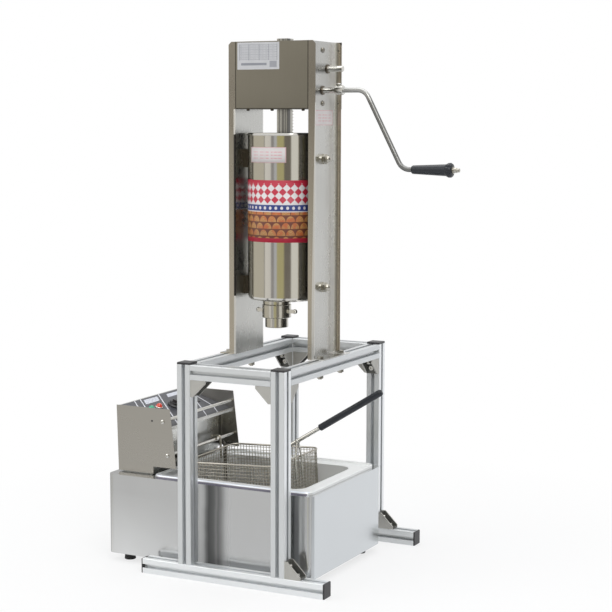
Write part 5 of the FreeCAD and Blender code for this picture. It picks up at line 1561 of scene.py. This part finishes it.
# ---------------------------------------------------------------- labels
@dataclass
class Labels:
    """Thin labels on the press: all bare or generic."""

    thick: float = 0.25 * MM
    # the two ends across and the two heights of each; x is from the middle of the stand
    plate: tuple[float, ...] = (-77.5 * MM, 18 * MM, 1016 * MM, 1070 * MM)
    web: tuple[float, ...] = (-40 * MM, 42 * MM, 905 * MM, 935 * MM)
    web_out: float = 85 * MM
    cylinder_radius: float = 76 * MM
    sticker: tuple[float, ...] = (-45 * MM, 37 * MM, 830 * MM, 861 * MM)
    sticker_columns: int = 24
    wrap_heights: Span = (670 * MM, 795 * MM)
    wrap_half_angle: float = 108.0
    wrap_columns: int = 96

    def build(self) -> None:
        """Makes the four labels."""
        x0, x1, z0, z1 = self.plate
        front = low("gearbox_front_panel").y
        self.flat("data_plate", DATA_PLATE, Vector((STAND_X + x0, front, z0)),
                  RIGHT * (x1 - x0), UP * (z1 - z0))
        y0, y1, z0, z1 = self.web
        self.flat("web_label", STICKER, Vector((STAND_X + self.web_out, y0, z0)),
                  FAR * (y1 - y0), UP * (z1 - z0))
        x0, x1, z0, z1 = self.sticker
        angles = tuple(math.asin(x / self.cylinder_radius) for x in (x0, x1))
        self.curved("cylinder_sticker", STICKER, angles, (z0, z1), self.sticker_columns)
        half = math.radians(self.wrap_half_angle)
        self.curved("cylinder_wrap", WRAP, (-half, half), self.wrap_heights, self.wrap_columns)

    def flat(self, name: str, finish: Finish, corner: Vector, across: Vector, up: Vector) -> None:
        """Makes a flat label.

        Args:
            name: the piece's name.
            finish: its print.
            corner: its lower left corner.
            across: its lower edge.
            up: its left edge.
        """
        out = across.cross(up).normalized()
        mesh = sheet_patch(name, lambda u, v: corner + across * u + up * v, 2, 2, self.thick,
                           lambda u, v: out)
        piece(name, mesh, finish, Body.STAND, Slot.SHEET)

    def curved(self, name: str, finish: Finish, angles: Span, heights: Span, columns: int) -> None:
        """Makes a label round the cylinder.

        Args:
            name: the piece's name.
            finish: its print.
            angles: where it starts and ends, from the cylinder's front.
            heights: its lower and upper edge.
            columns: flat cells round it.
        """
        def outward(u: float, v: float) -> Vector:
            """Direction away from the cylinder's axis."""
            a = angles[0] + (angles[1] - angles[0]) * u
            return Vector((math.sin(a), -math.cos(a), 0))

        def spot(u: float, v: float) -> Vector:
            """Point on the cylinder's skin."""
            axis = Vector((STAND_X, PRESS_Y, heights[0] + (heights[1] - heights[0]) * v))
            return axis + outward(u, v) * self.cylinder_radius

        mesh = sheet_patch(name, spot, columns, 2, self.thick, outward)
        piece(name, mesh, finish, Body.STAND, Slot.BRIGHT)


# ---------------------------------------------------------------- fryer
@dataclass
class FryerHead:
    """Film, screws and lamps of the control head."""

    slope: float = 37.0 / 131.0  # drop of the panel to each unit forwards
    panel_gap: float = 0.5 * MM  # between the back of the head and the panel
    film_thick: float = 0.2 * MM
    film_inset: float = 0.3 * MM
    film_ends: Span = (127 * MM, 3 * MM)  # at the lip and at the back
    screw_outline: Outline = ((0, 0), (4.6, 0), (4.232, 1.38), (2.76, 2.3), (0, 2.3))
    screw_socket: float = 1.61
    screw_places: Outline = ((-203 * MM, 298 * MM), (-192 * MM, 228 * MM))
    plug_outline: Outline = ((0, 0), (2.2, 0), (1.8, 0.5), (0, 0.6))
    plug_place: Span = (-228.5 * MM, 298 * MM)
    lamp_along: float = 49 * MM
    lamp_inset: float = 5.5 * MM
    lens_radius: float = 7 * MM
    lens_rise: float = 9 * MM
    dome_step: float = 10.0  # degrees
    collar_radii: tuple[float, float, float] = (6.3 * MM, 7.42 * MM, 8.54 * MM)
    collar_heights: Span = (1.2 * MM, 2 * MM)

    def build(self) -> None:
        """Makes the film, the cheek screws and the two lamps."""
        self.film()
        self.screws()
        self.lamps()

    def panel_point(self, along: float, y: float) -> Vector:
        """Point on the sloping panel's face.

        Args:
            along: level distance from the back of the head.
            y: place across the head.

        Returns:
            The point.
        """
        back, top = low("control_panel").x - self.panel_gap, high("control_panel").z
        return Vector((back + along, y, top + (self.panel_gap - along) * self.slope))

    def panel_normal(self) -> Vector:
        """Outward direction of the sloping panel."""
        return Vector((self.slope, 0, 1)).normalized()

    def film(self) -> None:
        """Printed film over the sloping panel."""
        out = self.panel_normal()
        near = low("control_panel").y + self.film_inset
        width = high("control_panel").y - self.film_inset - near
        lip, back = self.film_ends

        def spot(u: float, v: float) -> Vector:
            """u from the near cheek to the far one, v from the lip up to the back."""
            return self.panel_point(lip + (back - lip) * v, near + width * u)

        mesh = sheet_patch("control_film", spot, 2, 2, self.film_thick, lambda u, v: out)
        piece("control_film", mesh, CONTROL_FILM, Body.FRYER, Slot.PANEL)

    def screws(self) -> None:
        """Two bright screws on each cheek, and a small plug on the near one."""
        lo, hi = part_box("head_housing")
        spots = [(Vector((STAND_X + x, y, z)), way) for x, z in self.screw_places
                 for y, way in ((lo.y, NEAR), (hi.y, FAR))]
        screw = Fastener("cheek_screw", self.screw_outline, SHAFT_FINISH, self.screw_socket)
        screw.place("cheek_screws", spots, Body.FRYER, Slot.ZINC)
        x, z = self.plug_place
        plug = Fastener("cheek_plug", self.plug_outline, CAP_FINISH)
        plug.place("cheek_plug", [(Vector((STAND_X + x, lo.y, z)), NEAR)], Body.FRYER, Slot.PLASTIC)

    def lamps(self) -> None:
        """Domed lenses in bright collars: green on the nearer lamp, red on the other."""
        lo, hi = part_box("indicator_lamps")
        angles = [math.radians(self.dome_step * n) for n in range(round(90 / self.dome_step))]
        dome = [(0, 0), *((self.lens_radius * math.cos(a), self.lens_rise * math.sin(a))
                          for a in angles), (0, self.lens_rise)]
        inner, shoulder, outer = self.collar_radii
        edge, top = self.collar_heights
        collar = [(inner, 0), (outer, 0), (outer, edge), (shoulder, top), (inner, top), (inner, 0)]
        out = self.panel_normal()
        for name, finish, y in (("lens_near", GREEN_LENS, lo.y + self.lamp_inset),
                                ("lens_far", RED_LENS, hi.y - self.lamp_inset)):
            turn = facing(self.panel_point(self.lamp_along, y) + out * self.film_thick, out)
            made = piece(name, from_bmesh(name, turned(dome, turn)), finish, Body.FRYER, Slot.LENS)
            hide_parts("indicator_lamps")
            ring = from_bmesh(name + "_collar", turned(collar, turn))
            piece(name + "_collar", ring, SHAFT_FINISH, Body.FRYER, Slot.LENS)


# ---------------------------------------------------------------- basket
class WireRecipe(Recipe):
    """Wire work of a basket that stands on the origin, from its named sizes."""

    WIRE_SIDES, RIM_SIDES, FOOT_SIDES = 5, 10, 8
    CORNER_STEPS = 6

    def tube(self, curve: Sock, radius: Sock, sides: int) -> Sock:
        """Round wire along a curve.

        Args:
            curve: its middle line.
            radius: its radius.
            sides: flat sides round it.

        Returns:
            The wire.
        """
        ring = self.node("GeometryNodeCurvePrimitiveCircle",
                         values={"Resolution": sides, "Radius": radius})
        return self.node("GeometryNodeCurveToMesh", values={0: curve, 1: ring, "Fill Caps": True})

    def wires(self, points: Sock, curve: Sock) -> Sock:
        """Thin wires along copies of a curve, one on each point."""
        return self.tube(self.real(self.copies(points, curve)), self.input("Wire"), self.WIRE_SIDES)

    def outline(self) -> Sock:
        """Rounded rectangle that the sides stand on.

        Returns:
            The closed curve.
        """
        plain = self.node("GeometryNodeCurvePrimitiveQuadrilateral",
                          values={"Width": self.input("Length"), "Height": self.input("Width")})
        return self.node("GeometryNodeFilletCurve", {"mode": "POLY"},
                         {"Curve": plain, "Count": self.CORNER_STEPS,
                          "Radius": self.input("Corner"), "Limit Radius": True})

    def loops(self, outline: Sock) -> Sock:
        """Level wires round the sides, a pitch apart.

        Args:
            outline: line that the sides stand on.

        Returns:
            The wires.
        """
        pitch = self.input("Pitch")
        levels = self.node("GeometryNodeMeshLine",
                           values={"Count": (self.input("Depth") / pitch).rounded(),
                                   "Offset": self.vector(z=pitch)})
        return self.wires(levels, outline)

    def ribs(self, outline: Sock) -> Sock:
        """Upright wires round the sides, a pitch apart.

        Args:
            outline: line that the sides stand on.

        Returns:
            The wires.
        """
        length = self.node("GeometryNodeCurveLength", values={0: outline})
        feet = self.node("GeometryNodeCurveToPoints", {"mode": "COUNT"},
                         {0: outline, "Count": (length / self.input("Pitch")).rounded()})
        upright = self.node("GeometryNodeCurvePrimitiveLine",
                            values={"End": self.vector(z=self.input("Depth"))})
        return self.wires(feet, upright)

    def floor(self, across: str, along: str, turn: float) -> Sock:
        """Wires side by side under the basket.

        Args:
            across: input that says how far they spread.
            along: input that says how long they are.
            turn: their angle about Z.

        Returns:
            The wires.
        """
        half, pitch = self.input(along) * 0.5, self.input("Pitch")
        spread = self.input(across) - pitch
        rod = self.node("GeometryNodeCurvePrimitiveLine",
                        values={"Start": self.vector(x=half * -1.0), "End": self.vector(x=half)})
        rows = self.node("GeometryNodeMeshLine", {"mode": "END_POINTS"},
                         {"Count": (spread / pitch).rounded(), 2: self.vector(y=spread * -0.5),
                          3: self.vector(y=spread * 0.5)})
        return self.node("GeometryNodeTransform",
                         values={0: self.wires(rows, rod), "Rotation": (0.0, 0.0, turn)})

    def rims(self, outline: Sock) -> tuple[Sock, Sock]:
        """Thick wire round the mouth and a thinner one round the floor.

        Args:
            outline: line that the sides stand on.

        Returns:
            Both wires.
        """
        rim = self.input("Rim")
        mouth = self.node("GeometryNodeTransform",
                          values={0: self.tube(outline, rim, self.RIM_SIDES),
                                  "Translation": self.vector(z=self.input("Depth") - rim)})
        return mouth, self.tube(outline, rim * 0.5, self.FOOT_SIDES)

    def basket(self, place: Point) -> Sock:
        """The whole wire work.

        Args:
            place: middle of its floor.

        Returns:
            The joined wires, shaded smooth.
        """
        outline = self.outline()
        parts = (self.loops(outline), self.ribs(outline), *self.rims(outline),
                 self.floor("Width", "Length", 0.0), self.floor("Length", "Width", math.pi / 2))
        join = self.node("GeometryNodeJoinGeometry")
        for part in parts:
            self.tree.links.new(part.out, join.out.node.inputs[0])
        placed = self.node("GeometryNodeTransform", values={0: join, "Translation": place})
        return self.node("GeometryNodeSetShadeSmooth", values={0: placed})


@dataclass
class WireBasket:
    """Frying basket of fine wire mesh with thick rim and hook wires."""

    pitch: float = 7 * MM
    wire: float = 0.7 * MM
    rim: float = 2 * MM
    corner: float = 20 * MM
    depth: float = 105 * MM
    top: float = 214.5 * MM
    left: float = -172 * MM
    right: float = 38 * MM
    near: float = -132 * MM
    far: float = 83 * MM
    tilt: float = 2.7  # degrees
    bar: Span = (-184 * MM, 231.5 * MM)  # x and height of the bar that it hangs on
    bar_radius: float = 4 * MM
    hook_radius: float = 2.5 * MM
    hook_pitch: float = 110 * MM
    hook_bend: float = 4.5 * MM
    hook_foot: float = 25 * MM
    hook_gap: float = 0.3 * MM
    hook_back: float = 6 * MM
    hook_tail: float = 3 * MM

    def build(self) -> None:
        """Makes the mesh, rim and hooks in place of the plain CAD basket."""
        self.hung("basket_mesh", self.wires())
        self.hooks()

    def hung(self, name: str, mesh: Mesh) -> None:
        """Tilts a mesh about the bar that the basket hangs on and puts it in the scene.

        Args:
            name: the piece's name.
            mesh: its mesh, level.
        """
        pivot = Vector((STAND_X + self.bar[0], 0, self.bar[1]))
        turn = Matrix.Rotation(-math.radians(self.tilt), 4, "Y")
        mesh.transform(Matrix.Translation(pivot) @ turn @ Matrix.Translation(-pivot))
        made = piece(name, mesh, WIRE_FINISH, Body.BASKET, Slot.WIRE)
        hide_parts("fry_basket")

    def wires(self) -> Mesh:
        """Runs the recipe: loops round the sides, ribs down them and a grid for the floor.

        Returns:
            The wire work, level and in its place.
        """
        x0, x1 = STAND_X + self.left, STAND_X + self.right
        sizes = {"Length": x1 - x0, "Width": self.far - self.near, "Depth": self.depth,
                 "Corner": self.corner, "Pitch": self.pitch, "Wire": self.wire, "Rim": self.rim}
        recipe = WireRecipe("wire_basket", dict.fromkeys(sizes, "NodeSocketFloat"))
        place = ((x0 + x1) / 2, (self.near + self.far) / 2, self.top - self.depth)
        recipe.close(recipe.basket(place), WIRE_FINISH)
        return recipe.bake("basket_mesh", bpy.data.meshes.new("basket_anchor"), sizes)

    def hooks(self) -> None:
        """Two hook wires over the hanging bar."""
        side = STAND_X + self.left - self.hook_radius
        bar_x, bar_z = STAND_X + self.bar[0], self.bar[1]
        over = bar_z + self.bar_radius + self.hook_radius + self.hook_gap
        back = bar_x - self.bar_radius - self.hook_radius - self.hook_back
        for n, way in enumerate((-1, 1)):
            y = (self.near + self.far) / 2 + way * self.hook_pitch / 2
            route = [(side, y, self.top - self.hook_foot), (side, y, over), (back, y, over),
                     (back, y, bar_z - self.hook_tail)]
            self.hung(f"basket_hook_{n + 1}",
                      bent_wire("basket_hook", route, self.hook_radius, self.hook_bend))


# ---------------------------------------------------------------- studio
@dataclass(frozen=True)
class Lamp:
    """A square soft lamp aimed at the middle of the machine."""

    name: str
    place: Point
    size: float
    power: float
    aim: Point = (0.0, 0.0, 0.5)

    def build(self) -> None:
        """Puts the lamp in the scene."""
        light = bpy.data.lights.new(self.name, "AREA")
        light.size = self.size
        light.energy = self.power
        made = bpy.data.objects.new(self.name, light)
        made.location = self.place
        way = Vector(self.aim) - Vector(self.place)
        made.rotation_euler = way.to_track_quat("-Z", "Y").to_euler()
        bpy.context.scene.collection.objects.link(made)


@dataclass
class Studio:
    """Pale floor, soft lamps and the camera."""

    place: Point = (1.48926, -2.91633, 0.91136)  # of the camera; its angles are in radians
    yaw: float = 0.467273
    pitch: float = 0.114557
    roll: float = 0.00274
    focal_px: float = 1599.15
    frame_px: float = 612.0
    sensor: float = 36.0
    far_clip: float = 100.0
    floor_half: float = 20.0
    floor_tones: tuple[Colour, Colour] = ((0.88, 0.88, 0.88), (0.92, 0.92, 0.92))
    shadow_run: Span = (0.35, 1.1)  # distances between which the floor turns white
    shadow_share: float = 0.30  # how much of its own light the floor shows nearer than that
    white: tuple[float, ...] = (1.0, 1.0, 1.0, 1.0)
    daylight: tuple[float, ...] = (0.95, 0.97, 1.0, 1.0)
    daylight_power: float = 0.55
    ground: Colour = (0.85, 0.86, 0.87)
    ground_edge: Span = (-0.13, -0.30)
    ceiling: Colour = (0.95, 0.95, 0.94)
    ceiling_edge: Span = (0.35, 0.60)
    lamps: tuple[Lamp, ...] = (Lamp("key", (1.9, -2.2, 2.6), 1.6, 42.0),
                               Lamp("fill", (-2.2, -1.8, 2.0), 2.0, 24.0),
                               Lamp("top", (0.0, 0.3, 3.0), 2.4, 30.0))
    # what gloss sees round the room, a full turn from 0 to 1
    walls: Stops = (
        (0.000, (0.16, 0.15, 0.12)), (0.012, (0.58, 0.55, 0.46)), (0.134, (0.58, 0.55, 0.46)),
        (0.141, (0.26, 0.25, 0.22)), (0.147, (0.80, 0.78, 0.73)), (0.200, (0.74, 0.72, 0.68)),
        (0.208, (0.34, 0.33, 0.32)), (0.227, (0.34, 0.33, 0.32)), (0.234, (0.55, 0.56, 0.58)),
        (0.253, (0.55, 0.56, 0.58)), (0.259, (0.50, 0.46, 0.24)), (0.314, (0.50, 0.46, 0.24)),
        (0.322, (0.20, 0.18, 0.15)), (0.374, (0.20, 0.18, 0.15)), (0.382, (0.80, 0.79, 0.73)),
        (0.438, (0.80, 0.79, 0.73)), (0.448, (0.09, 0.08, 0.06)), (0.600, (0.09, 0.08, 0.06)),
        (0.640, (0.94, 0.94, 0.94)), (0.800, (0.94, 0.94, 0.94)), (0.900, (0.12, 0.11, 0.09)),
        (1.000, (0.12, 0.11, 0.09)))

    def build(self) -> None:
        """Makes floor, world, lamps and camera."""
        self.floor()
        self.world()
        for lamp in self.lamps:
            lamp.build()
        self.camera()
        bpy.context.scene.view_settings.view_transform = "Standard"

    def floor(self) -> None:
        """Large pale floor that keeps the machine's shadow and is white further out."""
        shape = bmesh.new()
        bmesh.ops.create_grid(shape, x_segments=1, y_segments=1, size=self.floor_half)
        mesh = from_bmesh("floor", shape, smooth=False)
        made = shown("floor", mesh)
        paint = Paint("floor_paint", (0.90, 0.90, 0.90), roughness=0.6)
        paint.cover(paint.mix(paint.noise(scale=3.0), *self.floor_tones))
        away = paint.node("ShaderNodeVectorMath", {"operation": "LENGTH"}, {0: paint.coords()},
                          out="Value")
        seen = paint.path("Is Camera Ray").most(paint.path("Is Transmission Ray"))
        white = paint.node("ShaderNodeEmission", values={"Color": self.white})
        share = away.ramp(*self.shadow_run) * self.shadow_share + (1 - self.shadow_share)
        lit = paint.blend(seen * share, Sock(paint, paint.shader.outputs[0]), white)
        clear = paint.node("ShaderNodeBsdfTransparent")
        paint.surface("Material Output", paint.blend(paint.path("Is Glossy Ray"), lit, clear))
        mesh.materials.append(paint.material)

    def world(self) -> None:
        """Even light; the camera sees white and gloss a pale studio with a few darker stands."""
        world = bpy.data.worlds.new("studio")
        world.use_nodes = True
        sky = Nodes(world.node_tree)
        x, y, z = sky.split(sky.coords("Generated"))
        turn = sky.node("ShaderNodeMath", {"operation": "ARCTAN2"}, {0: y, 1: x})
        room = sky.bands(turn.ramp(-math.pi, math.pi), self.walls)
        room = sky.mix(z.ramp(*self.ground_edge), room, self.ground)
        room = sky.mix(z.ramp(*self.ceiling_edge), room, self.ceiling)
        glossy = sky.node("ShaderNodeBackground", values={0: room})
        plain = sky.node("ShaderNodeBackground", values={0: self.daylight, 1: self.daylight_power})
        white = sky.node("ShaderNodeBackground", values={0: self.white})
        lit = sky.blend(sky.path("Is Glossy Ray"), plain, glossy)
        seen = sky.path("Is Camera Ray").most(sky.path("Is Transmission Ray"))
        sky.surface("World Output", sky.blend(seen, lit, white))
        bpy.context.scene.world = world

    def camera(self) -> None:
        """Camera at its measured place."""
        data = bpy.data.cameras.new("camera")
        data.sensor_width = self.sensor
        data.lens = self.sensor * self.focal_px / self.frame_px
        data.clip_end = self.far_clip
        made = bpy.data.objects.new("camera", data)
        bpy.context.scene.collection.objects.link(made)
        forward = Vector((-math.sin(self.yaw) * math.cos(self.pitch),
                          math.cos(self.yaw) * math.cos(self.pitch), -math.sin(self.pitch)))
        right = Vector((math.cos(self.yaw), math.sin(self.yaw), 0.0))
        up = right.cross(forward)
        tilted = right * math.cos(self.roll) + up * math.sin(self.roll)
        raised = up * math.cos(self.roll) - right * math.sin(self.roll)
        turn = Matrix((tilted, raised, -forward)).transposed()
        made.matrix_world = Matrix.Translation(self.place) @ turn.to_4x4()
        bpy.context.scene.camera = made


def main() -> None:
    """Dresses the machine, one sub-assembly after another."""
    logging.basicConfig(level=logging.INFO, format="%(name)s: %(message)s")
    dress_cad()
    for assembly in (Stand(), Labels(), FryerHead(), WireBasket(), Studio()):
        LOG.info("building %s", type(assembly).__name__)
        assembly.build()


if __name__ == "__main__":
    main()
